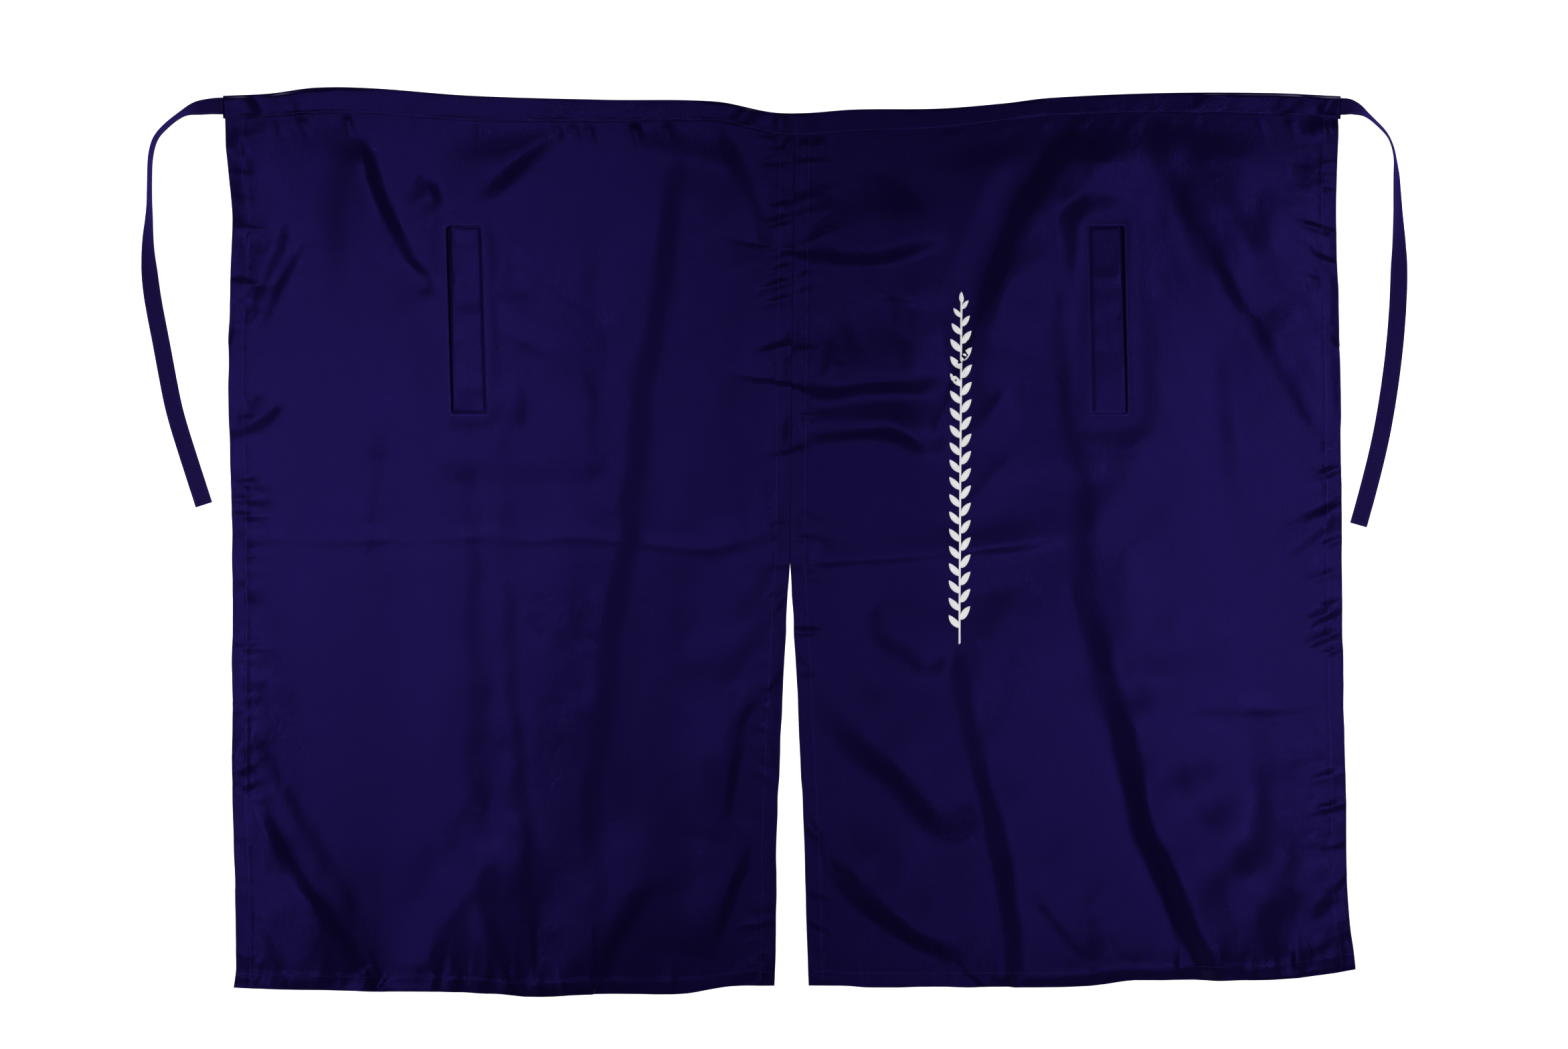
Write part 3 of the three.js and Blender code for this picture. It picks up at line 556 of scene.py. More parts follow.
def closed_sheet(x, y, top, under, hole=None):
    """Points and faces of a closed sheet over a grid. The underside has every second line."""
    columns, rows = x.shape
    upper = np.arange(columns * rows).reshape(columns, rows)
    coarse = under[::2, ::2]
    lower = upper.size + np.arange(coarse.size).reshape(coarse.shape)
    points = np.vstack([
        np.column_stack([x.ravel(), y.ravel(), top.ravel()]),
        np.column_stack([x[::2, ::2].ravel(), y[::2, ::2].ravel(), coarse.ravel()]),
    ])
    solid = np.ones((coarse.shape[0] - 1, coarse.shape[1] - 1), bool)
    if hole is not None:
        (a, b), (c, d) = hole
        solid[a // 2:b // 2, c // 2:d // 2] = False
    fine = np.repeat(np.repeat(solid, 2, axis=0), 2, axis=1)
    front = np.stack([upper[:-1, :-1], upper[:-1, 1:], upper[1:, 1:], upper[1:, :-1]], axis=-1)[fine]
    back = np.stack([lower[:-1, :-1], lower[1:, :-1], lower[1:, 1:], lower[:-1, 1:]], axis=-1)[solid]
    rim = []
    padded = np.pad(solid, 1)
    for a, b in np.argwhere(solid):
        around = [(0, 0), (0, 1), (0, 2), (1, 2), (2, 2), (2, 1), (2, 0), (1, 0)]
        for edge, (di, dj) in enumerate([(-1, 0), (0, 1), (1, 0), (0, -1)]):
            if padded[a + 1 + di, b + 1 + dj]:
                continue
            p, q, r = ((2 * a + i, 2 * b + j) for i, j in (around[(2 * edge + k) % 8] for k in range(3)))
            under_p, under_r = lower[p[0] // 2, p[1] // 2], lower[r[0] // 2, r[1] // 2]
            rim.append([upper[r], upper[q], upper[p], under_p, under_r])
    return points, [front, back, np.array(rim)]


def run_walls(rings):
    """Points and walls of a body through rings with the same number of corners, and their index."""
    count, corners = rings.shape[:2]
    index = np.arange(count * corners).reshape(count, corners)
    around = np.roll(index, -1, axis=1)
    walls = np.stack([index[:-1], around[:-1], around[1:], index[1:]], axis=-1).reshape(-1, 4)
    return rings.reshape(-1, 3), walls, index


# Grid lines of a panel. A line is a function that gives its place at each point along it.

def spread(start, end, length, step=FRONT_STEP):
    """Even lines from one line to another, with the first and without the last."""
    cells = max(2, 2 * round(length / step / 2))
    return [lambda s, t=k / cells: lerp(start(s), end(s), t) for k in range(cells)]


def from_line(line, direction, stops):
    return [lambda s, stop=stop: line(s) + direction * stop for stop in stops]


WINDOW_STOPS = [0, 0.00025, 0.0007, 0.0015, 0.0026, 0.004, 0.006]


def corner_shift(y):
    """Inward shift of the window's open edge where its corners are rounded."""
    radius = WINDOW_RADIUS
    inside = POCKET_HEIGHT / 2 - np.abs(y - POCKET_MIDDLE)
    arc = radius - np.sqrt(np.maximum(radius**2 - np.maximum(radius - inside, 0) ** 2, 0))
    return np.where(inside > 0, arc, radius * (1 - smooth(-inside / 0.006)))


def panel_columns(side):
    """Grid lines from the side edge to the inner edge, as x for each y, and the window's place."""
    o = side.outward

    def edge(y):
        return side_x(side, y)

    def inner(y):
        return inner_x(side, y)

    def window_open(y):
        return pocket_x(side, corner_shift(y), y)

    def window_sewn(y):
        return pocket_x(side, POCKET_WIDTH - corner_shift(y), y)

    lines = from_line(edge, -o, HEM_STOPS[:-1])
    hem_in = from_line(edge, -o, HEM_STOPS[-1:])[0]
    open_out = from_line(window_open, o, WINDOW_STOPS[::-1])
    lines += spread(hem_in, open_out[0], side.inset - HEM_STOPS[-1] - WINDOW_STOPS[-1])
    lines += open_out[:-1]
    window_start = len(lines)
    lines += spread(window_open, window_sewn, POCKET_WIDTH)
    window_end = len(lines)
    sewn_in = from_line(window_sewn, -o, WINDOW_STOPS)
    lines += sewn_in[:-1]
    inner_in = from_line(inner, o, HEM_STOPS[::-1])
    rest = APRON_WIDTH / 2 - side.inset - POCKET_WIDTH - WINDOW_STOPS[-1] - HEM_STOPS[-1]
    lines += spread(sewn_in[-1], inner_in[0], rest)
    lines += inner_in
    return lines, (window_start, window_end)


def panel_rows(side):
    """Grid lines from the band to the bottom edge, as y for each x, and the window's place."""
    def tucked(x):
        clipped = np.abs(x - side_x(side, np.full_like(x, POCKET_MIDDLE))) < CORNER_REACH
        return band_low_y(x) + np.where(clipped, CORNER_GRIP, BAND_GRIP)

    def level(height):
        return lambda x: np.full_like(x, height)

    window_top = -POCKET_TOP
    window_bottom = POCKET_LOW
    above = from_line(level(window_top), 1, WINDOW_STOPS[::-1])
    below = from_line(level(window_bottom), -1, WINDOW_STOPS)
    bottom = from_line(bottom_y, 1, HEM_STOPS[::-1])
    lines = spread(tucked, band_low_y, BAND_GRIP)
    lines += spread(band_low_y, above[0], POCKET_TOP - BAND_HEIGHT - WINDOW_STOPS[-1])
    lines += above[:-1]
    window_start = len(lines)
    corner_in = from_line(level(window_top), -1, [0, 0.0004, 0.001, 0.0018, 0.003])
    corner_out = from_line(level(window_bottom), 1, [0.003, 0.0018, 0.001, 0.0004, 0])
    lines += corner_in[:-1]
    lines += spread(corner_in[-1], corner_out[0], POCKET_HEIGHT)
    lines += corner_out[:-1]
    window_end = len(lines)
    lines += below[:-1]
    lines += spread(below[-1], bottom[0], APRON_HEIGHT - POCKET_TOP - POCKET_HEIGHT - HEM_STOPS[-1])
    lines += bottom
    return lines, (window_start, window_end)


def panel_grid(side):
    columns, window_columns = panel_columns(side)
    rows, window_rows = panel_rows(side)
    if side.outward > 0:
        columns = columns[::-1]
        last = len(columns) - 1
        window_columns = (last - window_columns[1], last - window_columns[0])
    middle = np.array([line(np.array([POCKET_MIDDLE]))[0] for line in columns])
    y = np.column_stack([line(middle) for line in rows])
    x = np.vstack([line(y[i]) for i, line in enumerate(columns)])
    return x, y, (window_columns, window_rows)


def make_panel(side, material):
    x, y, hole = panel_grid(side)
    flat_x, flat_y = x.ravel(), y.ravel()
    under = panel_under(side, flat_x, flat_y).reshape(x.shape)
    top = under + panel_layers(side, flat_x, flat_y).reshape(x.shape)
    points, faces = closed_sheet(x, y, top, under, hole)
    piece = mesh_object(f"{side.name}_panel_cloth", points, faces, material)
    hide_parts(f"{side.name}_panel")


# Waistband

BAND_DENTS = table(
    "across half slant depth",
    (0.018, 0.007, -0.6, 1.6), (0.036, 0.009, -0.9, -2.2), (0.056, 0.008, -0.7, 1.6),
    (0.085, 0.012, 0.4, 0.6), (0.2, 0.03, 0.3, 0.5), (0.3, 0.012, 0.8, 0.8), (0.44, 0.016, 0.6, 0.9),
    (0.466, 0.008, 0.9, 2.2), (0.484, 0.008, 0.8, -1.8), (0.499, 0.007, -0.4, 1.8),
    (0.52, 0.01, -0.4, 0.8), (0.61, 0.016, 0.5, 0.6), (0.72, 0.014, -0.6, 0.8),
    (0.88, 0.008, 0.9, 0.9), (0.9, 0.009, 0.8, -0.8), (0.955, 0.01, 0.9, 1.4),
    (0.975, 0.008, -0.9, -1.8), (0.99, 0.006, 0.5, 1.6),
)
BAND_LEANS = table(
    "across rise",
    (0.0, 1.6), (0.06, 1.6), (0.09, 0.2), (0.86, 0.2), (0.9, 3.0), (1.0, 3.4),
)
BAND_FRONT = 0.0024  # height of the front layer's face above the floor


def band_dents(x, up):
    """Wrinkles of the band's front layer, in metres."""
    height = 0.0003 * waves(x + 0.4 * up, up, 0.013, 0.02, 61) + 0.0003 * waves(x, up, 0.05, 0.04, 62)
    height = height + read(BAND_LEANS, "rise", across(x)) / 1000 * up / BAND_HEIGHT
    for place, half, slant, depth in zip(*BAND_DENTS.values()):
        offset = x - (place - 0.5) * APRON_WIDTH - slant * (up - BAND_HEIGHT / 2)
        height = height + depth / 1000 * np.exp(-((offset / (half * APRON_WIDTH)) ** 2))
    deepest = 0.0006
    return (height - deepest + np.sqrt((height + deepest) ** 2 + 0.0004**2)) / 2


def band_top(x, y):
    """Height of the band's front face."""
    low = band_low_y(x)
    up = y - low
    free = smooth(up / 0.004) * smooth((waist_y(x) - y) / 0.004 + 0.2)
    pull = 0.0003 * waves(x, up, 0.006, 0.02, 63) * np.exp(-((up - 0.002) / 0.003) ** 2)
    return FLOOR_GAP + BAND_FRONT + band_dents(x, up) * free + pull - 0.00016 * groove(up, 0.0018)


def make_band(material):
    """A strip folded lengthwise over the panels' top edges."""
    start = side_x(SIDES[0], np.zeros(1))[0] - BAND_OVERHANG
    end = side_x(SIDES[1], np.zeros(1))[0] + BAND_OVERHANG
    sections = 520
    xs = np.linspace(start, end, sections + 1)
    radius = BAND_FRONT / 2
    turn = np.linspace(-90, 90, 9)
    shares = np.array([
        1, 0.94, 0.88, 0.8, 0.7, 0.6, 0.5, 0.4, 0.3, 0.22, 0.16, 0.11, 0.085, 0.06, 0.03, 0.012, 0,
    ])

    def bend(middle, reach, degrees):
        a = np.radians(degrees)
        return list(zip(middle + reach * np.cos(a), radius + reach * np.sin(a)))

    rings = []
    for x in xs:
        low, high = band_low_y(np.array([x, x]))[0], waist_y(np.array([x, x]))[0]
        inside = high - low - radius
        up = inside * shares
        here = np.full_like(up, x)
        face = band_top(here, low + up) - FLOOR_GAP
        face = lerp(face, BAND_FRONT, smooth((shares - 0.9) / 0.1))
        lip = np.where(up < EDGE_RADIUS, CLOTH * (1 - round_edge(up + 0.0001)), 0)
        outer = [(0.0, 0.0), (inside * 0.5, 0.0)]
        outer += bend(inside, radius, turn)
        outer += list(zip(up[1:], (face - lip)[1:]))
        inner = [(0.0002, face[-1] - CLOTH * 1.2)]
        inner += list(zip(up[-2:0:-4], face[-2:0:-4] - CLOTH * 1.2))
        inner += bend(inside, radius - CLOTH, turn[::-2])
        inner += [(inside * 0.5, CLOTH), (0.0, CLOTH)]
        section = np.array(outer + inner)
        y, z = low + section[:, 0], FLOOR_GAP + section[:, 1]
        rings.append(np.column_stack([np.full(len(section), x), y, z]))
    rings = np.array(rings)
    points, walls, index = run_walls(rings)
    split = 2 + len(turn) + len(shares) - 1  # corners of the outer face
    inner_count = rings.shape[1] - split
    steps = 2 * max(split, inner_count)
    outer_ids = np.round(np.linspace(0, split - 1, steps)).astype(int)
    inner_ids = -1 - np.round(np.linspace(0, inner_count - 1, steps)).astype(int)
    caps = []
    for ring, flip in ((index[0], False), (index[-1], True)):
        p, q = ring[outer_ids], ring[inner_ids]
        for p0, p1, q0, q1 in zip(p, p[1:], q, q[1:]):
            if p0 != p1:
                caps.append((p0, q0, p1) if flip else (p0, p1, q0))
            if q0 != q1:
                caps.append((p1, q0, q1) if flip else (p1, q1, q0))
    piece = mesh_object("waistband_cloth", points, [walls, np.array(caps)], material)
    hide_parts("waistband")


# Ties

def tie_course(side, sections=180):
    """Centre line, sideways direction and tilt of a tie, from inside the band to its free end."""
    band_end = side_x(side, np.zeros(1))[0] + side.outward * BAND_OVERHANG
    here = np.array([band_end])
    low, high = band_low_y(here)[0] + CORNER_GRIP + 0.0003, waist_y(here)[0] - 0.0013
    root = min(TIE_WIDTH, (high - low) * 0.95)
    free = np.linspace(-TIE_TUCK, TIE_LENGTH, sections + 1)
    step = free[1] - free[0]

    def angle(name, at):
        degrees = np.maximum(read(side.tie, name, at / TIE_LENGTH), 0)
        return np.radians(degrees) * smooth(at / 0.012)

    between = angle("heading", (free[1:] + free[:-1]) / 2)
    sideways = step * np.concatenate([[0], np.cumsum(np.cos(between))])
    x = band_end + side.outward * (sideways - TIE_TUCK)
    y = (low + high) / 2 - step * np.concatenate([[0], np.cumsum(np.sin(between))])
    heading = angle("heading", free)
    settled = smooth(free / TIE_SETTLE)
    return SimpleNamespace(
        x=x, y=y, free=free, settled=settled, tilt=angle("tilt", free),
        out_x=side.outward * np.sin(heading), out_y=np.cos(heading),
        width=lerp(root, TIE_WIDTH, settled),
    )


def tie_point(course, share, lift, k=slice(None)):
    """Points on a tie: share runs from -1 at its inner edge to 1 at its outer edge."""
    half = course.width[k] / 2
    tilt = course.tilt[k]
    run = share * half * np.cos(tilt) + lift * np.sin(tilt)
    sag = 0.0012 * np.sin(2 * tilt) * (1 - share**2)
    rise = (1 - share) * half * np.sin(tilt) + lift * np.cos(tilt) - sag
    base = FLOOR_GAP + 0.0006 * (1 - course.settled[k])
    x, y = course.x[k] + course.out_x[k] * run, course.y[k] + course.out_y[k] * run
    return np.stack([x, y, base + rise], axis=-1)


def tie_ripple(side, free, share):
    """Unevenness of a tie's face."""
    edge = 0.00012 * waves(free, share, 0.007, 0.8, side.seed + 21) * share**2
    return edge + 0.00015 * waves(free, share, 0.02, 1.5, side.seed + 22)


def make_tie(side, material):
    course = tie_course(side)
    shares = np.array([-1, -0.97, -0.9, -0.8, -0.6, -0.3, 0, 0.3, 0.6, 0.8, 0.9, 0.97, 1])
    distance = (1 - np.abs(shares)) * TIE_WIDTH / 2
    dent = 0.0002 * groove(distance, TIE_STITCH, 0.0006)
    crown = TIE_THICKNESS * (0.4 + 0.6 * round_edge(distance)) - dent
    upper = []
    for share, lift in zip(shares, crown):
        upper.append(tie_point(course, share, lift + tie_ripple(side, course.free, share)))
    lower = [tie_point(course, share, 0.0) for share in shares[::-3]]
    rings = np.stack(upper + lower, axis=1)
    if side.outward < 0:
        rings = rings[:, ::-1]
    points, walls, index = run_walls(rings[::-1])
    caps = np.array([index[0][::-1], index[-1]])
    piece = mesh_object(f"{side.name}_tie_cloth", points, [walls, caps], material)
    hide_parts(f"{side.name}_tie")
    return course


# Pockets

WELT_THICKNESS = 0.0009
WELT_TUCK = 0.003


def welt_free_edge(side, y):
    """Inward place of the welt's free edge."""
    t = smooth((-POCKET_TOP - y) / POCKET_HEIGHT)
    return lerp(side.gap[0], side.gap[1], t)


def welt_top(side, x, y):
    inward = pocket_inward(side, x, y)
    seed = side.seed + 31
    creases = 0.0005 * (waves(inward, y, 0.03, 0.011, seed) + waves(inward, y, 0.06, 0.034, seed + 1))
    free = inward - welt_free_edge(side, y)
    dip = 0.0007 * groove(window_distance(side, x, y), 0, 0.0016)
    thickness = WELT_THICKNESS * round_edge(free)
    return side.level + 0.0003 + thickness + (creases - dip) * smooth(free / 0.004)


def make_welt(side, material):
    low = POCKET_LOW - WELT_TUCK
    high = -POCKET_TOP + WELT_TUCK
    stops = np.concatenate([[0, 0.00025, 0.0007, 0.0015, 0.003], np.linspace(0.0045, 0.0345, 22)])
    rows = np.linspace(high, low, 117)
    y = np.tile(rows, (len(stops), 1))
    far = POCKET_WIDTH + WELT_TUCK
    near = welt_free_edge(side, y)
    inward = near + (far - near) * (stops / stops[-1])[:, None]
    inward[:5] = near[:5] + stops[:5, None]
    x = pocket_x(side, inward, y)
    top = welt_top(side, x, y)
    under = np.full_like(top, side.level)
    if side.outward > 0:
        x, y, top, under = (grid[::-1] for grid in (x, y, top, under))
    points, faces = closed_sheet(x, y, top, under)
    piece = mesh_object(f"{side.name}_welt_cloth", points, faces, material)
    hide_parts(f"{side.name}_pocket_welt")


def make_bag(side, material):
    """A flat pouch behind the window, with its mouth sewn up to the panel round the open edge."""
    low = POCKET_LOW - BAG_BELOW
    high = -POCKET_TOP + BAG_ABOVE
    lining = 0.0004

    def layer(near, far, height, offset):
        inward = np.linspace(near, far, 41)[:, None] + np.zeros((1, 61))
        y = np.tile(np.linspace(high, low, 61), (41, 1))
        x = pocket_x(side, inward, y)
        edge = np.minimum(np.minimum(inward - near, far - inward), np.minimum(high - y, y - low))
        ripple = 0.00008 * waves(x, y, 0.02, 0.03, side.seed + 41)
        under = height + ripple * smooth(edge / 0.01)
        sewn_up = np.maximum(panel_under(side, x, y) - lining - BAG_GAP - height, 0)
        # The mouth's open side, and the strips past the window's two ends
        past_end = np.maximum(y + POCKET_TOP, POCKET_LOW - y) - 0.004
        at_end = smooth(past_end / 0.009) * (1 - smooth((inward - POCKET_WIDTH + 0.007) / 0.008))
        at_side = smooth(-inward / BAG_ALLOWANCE)
        under = under + sewn_up * np.maximum(at_side, at_end)
        if side.outward > 0:
            x, y, under = x[::-1], y[::-1], under[::-1]
        points, faces = closed_sheet(x, y, under + lining, under)
        return points, [face + offset for face in faces]

    back, back_faces = layer(-BAG_ALLOWANCE, BAG_DEPTH, FLOOR_GAP, 0)
    front, front_faces = layer(POCKET_WIDTH + 0.004, BAG_DEPTH, FLOOR_GAP + lining + 0.0001, len(back))
    points, faces = np.vstack([back, front]), back_faces + front_faces
    piece = mesh_object(f"{side.name}_bag_cloth", points, faces, material)
    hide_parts(f"{side.name}_pocket_bag")


# Thread

STITCH_PITCH = 0.0026
STITCH_LENGTH = 0.0018
STITCH_WIDTH = 0.00038
STRAND_ALONG = np.array([-1.0, -0.8, -0.35, 0.35, 0.8, 1.0])  # places of a strand's rings
STRAND_GIRTH = np.array([0.35, 0.85, 1.0, 1.0, 0.85, 0.35])
STRAND_CORNERS = 6
UP = np.array([0.0, 0.0, 1.0])


def strands(start, end, up, width, height, sink=0.35):
    """Points and faces of many small round strands between pairs of points."""
    arch = 1 - STRAND_ALONG**2
    angle = np.arange(STRAND_CORNERS) * 2 * math.pi / STRAND_CORNERS
    middle = (start + end) / 2
    half = (end - start) / 2
    unit = half / np.linalg.norm(half, axis=1, keepdims=True)
    beside = np.cross(up, unit)
    beside /= np.linalg.norm(beside, axis=1, keepdims=True)
    rise = np.cross(unit, beside)
    radius = width / 2
    centre = middle[:, None] + half[:, None] * STRAND_ALONG[None, :, None]
    centre = centre + rise[:, None] * (height * arch - radius * sink)[None, :, None]
    around = (
        beside[:, None, None] * np.cos(angle)[None, None, :, None]
        + rise[:, None, None] * np.sin(angle)[None, None, :, None]
    )
    points = centre[:, :, None] + around * (radius * STRAND_GIRTH)[None, :, None, None]
    count, rings = points.shape[:2]
    index = np.arange(count * rings * STRAND_CORNERS).reshape(count, rings, STRAND_CORNERS)
    turned = np.roll(index, -1, axis=2)
    walls = np.stack([index[:, :-1], turned[:, :-1], turned[:, 1:], index[:, 1:]], axis=-1).reshape(-1, 4)
    caps = np.vstack([index[:, 0, ::-1], index[:, -1]])
    return points.reshape(-1, 3), walls, caps


def along_path(points, pitch, length, seed):
    """Start and end points of stitches along a path, with small unevenness."""
    points = np.asarray(points, float)
    run = np.concatenate([[0], np.cumsum(np.linalg.norm(np.diff(points[:, :3], axis=0), axis=1))])
    count = int(run[-1] / pitch)
    random = np.random.default_rng(seed)
    middle = (np.arange(count) + 0.5) * pitch + random.uniform(-0.05, 0.05, count) * pitch
    half = length / 2 * random.uniform(0.9, 1.08, count)

    def at(place):
        return np.column_stack([np.interp(place, run, points[:, k]) for k in range(points.shape[1])])

    return at(middle - half), at(middle + half)


def on_surface(points, height):
    return np.column_stack([points[:, 0], points[:, 1], height(points[:, 0], points[:, 1])])


def add_thread(name, runs, material):
    """One piece from many runs of strands."""
    points, walls, caps, offset = [], [], [], 0
    for some_points, some_walls, some_caps in runs:
        points.append(some_points)
        walls.append(some_walls + offset)
        caps.append(some_caps + offset)
        offset += len(some_points)
    mesh_object(name, np.vstack(points), [np.vstack(walls), np.vstack(caps)], material)


def over_panel(side, lift=0.0):
    """A function for places at lift above a panel's face."""
    return lambda x, y: panel_top(side, x, y) + lift


def surface_stitches(path, height, seed, pitch=STITCH_PITCH, length=STITCH_LENGTH, width=STITCH_WIDTH):
    start, end = along_path(path, pitch, length, seed)
    start, end = on_surface(start, height), on_surface(end, height)
    return strands(start, end, UP, width, 0.00012)


def make_panel_stitches(side, material):
    o = side.outward
    top = over_panel(side)
    foot = np.array([-APRON_HEIGHT])

    def beside(edge, inwards, seed):
        """Stitches along an upright edge, between the bottom hem and the band."""
        low = bottom_y(edge(side, foot) + inwards * HEM_STITCH)[0]
        ys = np.linspace(-0.024, -APRON_HEIGHT + 0.004, 400)
        ys = ys[(ys > low + 0.0015) & (ys < band_low_y(edge(side, ys)) - 0.001)]
        return surface_stitches(np.column_stack([edge(side, ys) + inwards * HEM_STITCH, ys]), top, seed)

    xs = np.linspace(side_x(side, foot)[0] - o * 0.002, inner_x(side, foot)[0] + o * 0.002, 400)
    runs = [
        beside(side_x, -o, side.seed),
        beside(inner_x, o, side.seed + 1),
        surface_stitches(np.column_stack([xs, bottom_y(xs) + HEM_STITCH]), top, side.seed + 2),
    ]
    add_thread(f"{side.name}_hem_stitches", runs, material)


def make_band_stitches(material):
    xs = np.linspace(-APRON_WIDTH / 2 + 0.001, APRON_WIDTH / 2 - 0.001, 500)
    path = np.column_stack([xs, band_low_y(xs) + BAND_STITCH])

    def raised(x, y):
        return band_top(x, y) + 0.0004

    add_thread("band_stitches", [surface_stitches(path, raised, 71, width=0.0007)], material)


def make_tie_stitches(side, course, material):
    """Two rows along the tie's edges and one across its end."""
    up = np.stack([
        course.out_x * np.sin(course.tilt), course.out_y * np.sin(course.tilt), np.cos(course.tilt),
    ], axis=-1)
    runs = []
    inset = 1 - TIE_STITCH / (TIE_WIDTH / 2)
    lift = TIE_THICKNESS - 0.0001
    for share in (-inset, inset):
        path = np.column_stack([tie_point(course, share, lift), up])
        shown = course.free > 0.004
        start, end = along_path(path[shown], STITCH_PITCH, STITCH_LENGTH, side.seed + 51)
        normal = (start[:, 3:] + end[:, 3:]) / 2
        runs.append(strands(start[:, :3], end[:, :3], normal, STITCH_WIDTH, 0.0001))
    last = len(course.free) - 2
    across_end = np.stack([tie_point(course, s, lift, last) for s in np.linspace(-inset, inset, 12)])
    start, end = along_path(across_end, STITCH_PITCH, STITCH_LENGTH, side.seed + 52)
    runs.append(strands(start, end, UP, STITCH_WIDTH, 0.0001))
    add_thread(f"{side.name}_tie_stitches", runs, material)


def make_pocket_stitches(side, material):
    """Stitch lines round the window: dense across its ends, and one line along each long edge."""
    top_y, low_y = -POCKET_TOP, POCKET_LOW
    top, raised = over_panel(side), over_panel(side, 0.0002)

    def ladder(inward, ys):
        return np.column_stack([pocket_x(side, inward, ys), ys])

    runs = []
    ys = np.linspace(top_y + 0.0015, low_y - 0.0015, 200)
    runs.append(surface_stitches(ladder(-WINDOW_STITCH, ys), top, side.seed + 61))
    runs.append(surface_stitches(ladder(POCKET_WIDTH + WINDOW_STITCH, ys), top, side.seed + 62))
    inward = np.linspace(-WINDOW_STITCH, POCKET_WIDTH + WINDOW_STITCH, 60)

    for y in (top_y + 0.0016, low_y - 0.0016):
        path = ladder(inward, np.full_like(inward, y))
        runs.append(surface_stitches(path, raised, side.seed + 63, 0.0016, 0.0013, 0.0006))
    add_thread(f"{side.name}_pocket_stitches", runs, material)


# Embroidery: a sprig of leaves in satin stitch

SPRIG_TOP = (0.661, 0.232)  # across and down of the sprig's upper end
SPRIG_LENGTH = 0.308
SPRIG_LEAN = -0.002
LEAF_PITCH = 0.0155
LEAF_LENGTH = 0.0145
LEAF_HALF_WIDTH = 0.0031
LEAF_ANGLE = 38  # degrees between a leaf and the stem
SATIN_PITCH = 0.00045
SATIN_WIDTH = 0.00055


def sprig_stem(s):
    x = (SPRIG_TOP[0] - 0.5) * APRON_WIDTH + SPRIG_LEAN * s / SPRIG_LENGTH
    return np.stack([x + 0 * s, -SPRIG_TOP[1] * APRON_HEIGHT - s], axis=-1)


def satin(base, direction, length, half_width, height, lean=0.35):
    """Satin stitches that fill a leaf shape, side by side along its length."""
    count = int(length / SATIN_PITCH)
    t = (np.arange(count) + 0.5) / count
    across_leaf = np.array([-direction[1], direction[0]])
    half = half_width * np.sin(math.pi * t**0.8) ** 0.75
    middle = base + direction * (length * t)[:, None]
    start = middle - (across_leaf + lean * direction) * half[:, None]
    end = middle + (across_leaf + lean * direction) * half[:, None]
    start, end = on_surface(start, height), on_surface(end, height)
    return strands(start, end, UP, SATIN_WIDTH, 0.0005, sink=0.2)


def make_embroidery(material):
    height = over_panel(SIDES[1], 0.0001)
    runs = []
    for s in np.arange(LEAF_PITCH, SPRIG_LENGTH, LEAF_PITCH):
        for hand in (-1, 1):
            at = s if hand < 0 else s - LEAF_PITCH / 2
            angle = math.radians(LEAF_ANGLE)
            direction = np.array([hand * math.sin(angle), math.cos(angle)])
            base = sprig_stem(at) + direction * 0.001
            taper = lerp(0.62, 1, smooth(at / 0.05))
            runs.append(satin(base, direction, LEAF_LENGTH * taper, LEAF_HALF_WIDTH * taper, height))
    tip = sprig_stem(0.002)
    runs.append(satin(tip, np.array([0.0, 1.0]), LEAF_LENGTH * 0.7, LEAF_HALF_WIDTH * 0.7, height))
    places = np.arange(0, SPRIG_LENGTH, SATIN_PITCH)
    middle = sprig_stem(places)
    reach = np.array([0.0009, 0.0006])
    start, end = on_surface(middle - reach, height), on_surface(middle + reach, height)
    runs.append(strands(start, end, UP, SATIN_WIDTH, 0.0004, sink=0.2))
    add_thread("leaf_sprig_embroidery", runs, material)


# Materials

def new_material(name):
    material = bpy.data.materials.new(name)
    material.use_nodes = True
    return material, material.node_tree.nodes, material.node_tree.links


def set_inputs(node, **values):
    """Sets a node's inputs by their names, with _ for a space."""
    for name, value in values.items():
        node.inputs[name.replace("_", " ")].default_value = value


def noise(nodes, links, vector, scale, detail):
    texture = nodes.new("ShaderNodeTexNoise")
    set_inputs(texture, Scale=scale, Detail=detail)
    links.new(vector, texture.inputs["Vector"])
    return texture.outputs["Fac"]


def finish_material(nodes, links, color, low, dark, high, light, relief, strength, distance):
    """Base colour from dark to light while color runs from low to high, and a bump from relief."""
    shader = nodes["Principled BSDF"]
    ramp = nodes.new("ShaderNodeValToRGB")
    for element, place, shade in zip(ramp.color_ramp.elements, (low, high), (dark, light)):
        element.position = place
        element.color = (*shade, 1)
    bump = nodes.new("ShaderNodeBump")
    set_inputs(bump, Strength=strength, Distance=distance)
    links.new(color, ramp.inputs["Fac"])
    links.new(ramp.outputs["Color"], shader.inputs["Base Color"])
    links.new(relief, bump.inputs["Height"])
    links.new(bump.outputs["Normal"], shader.inputs["Normal"])


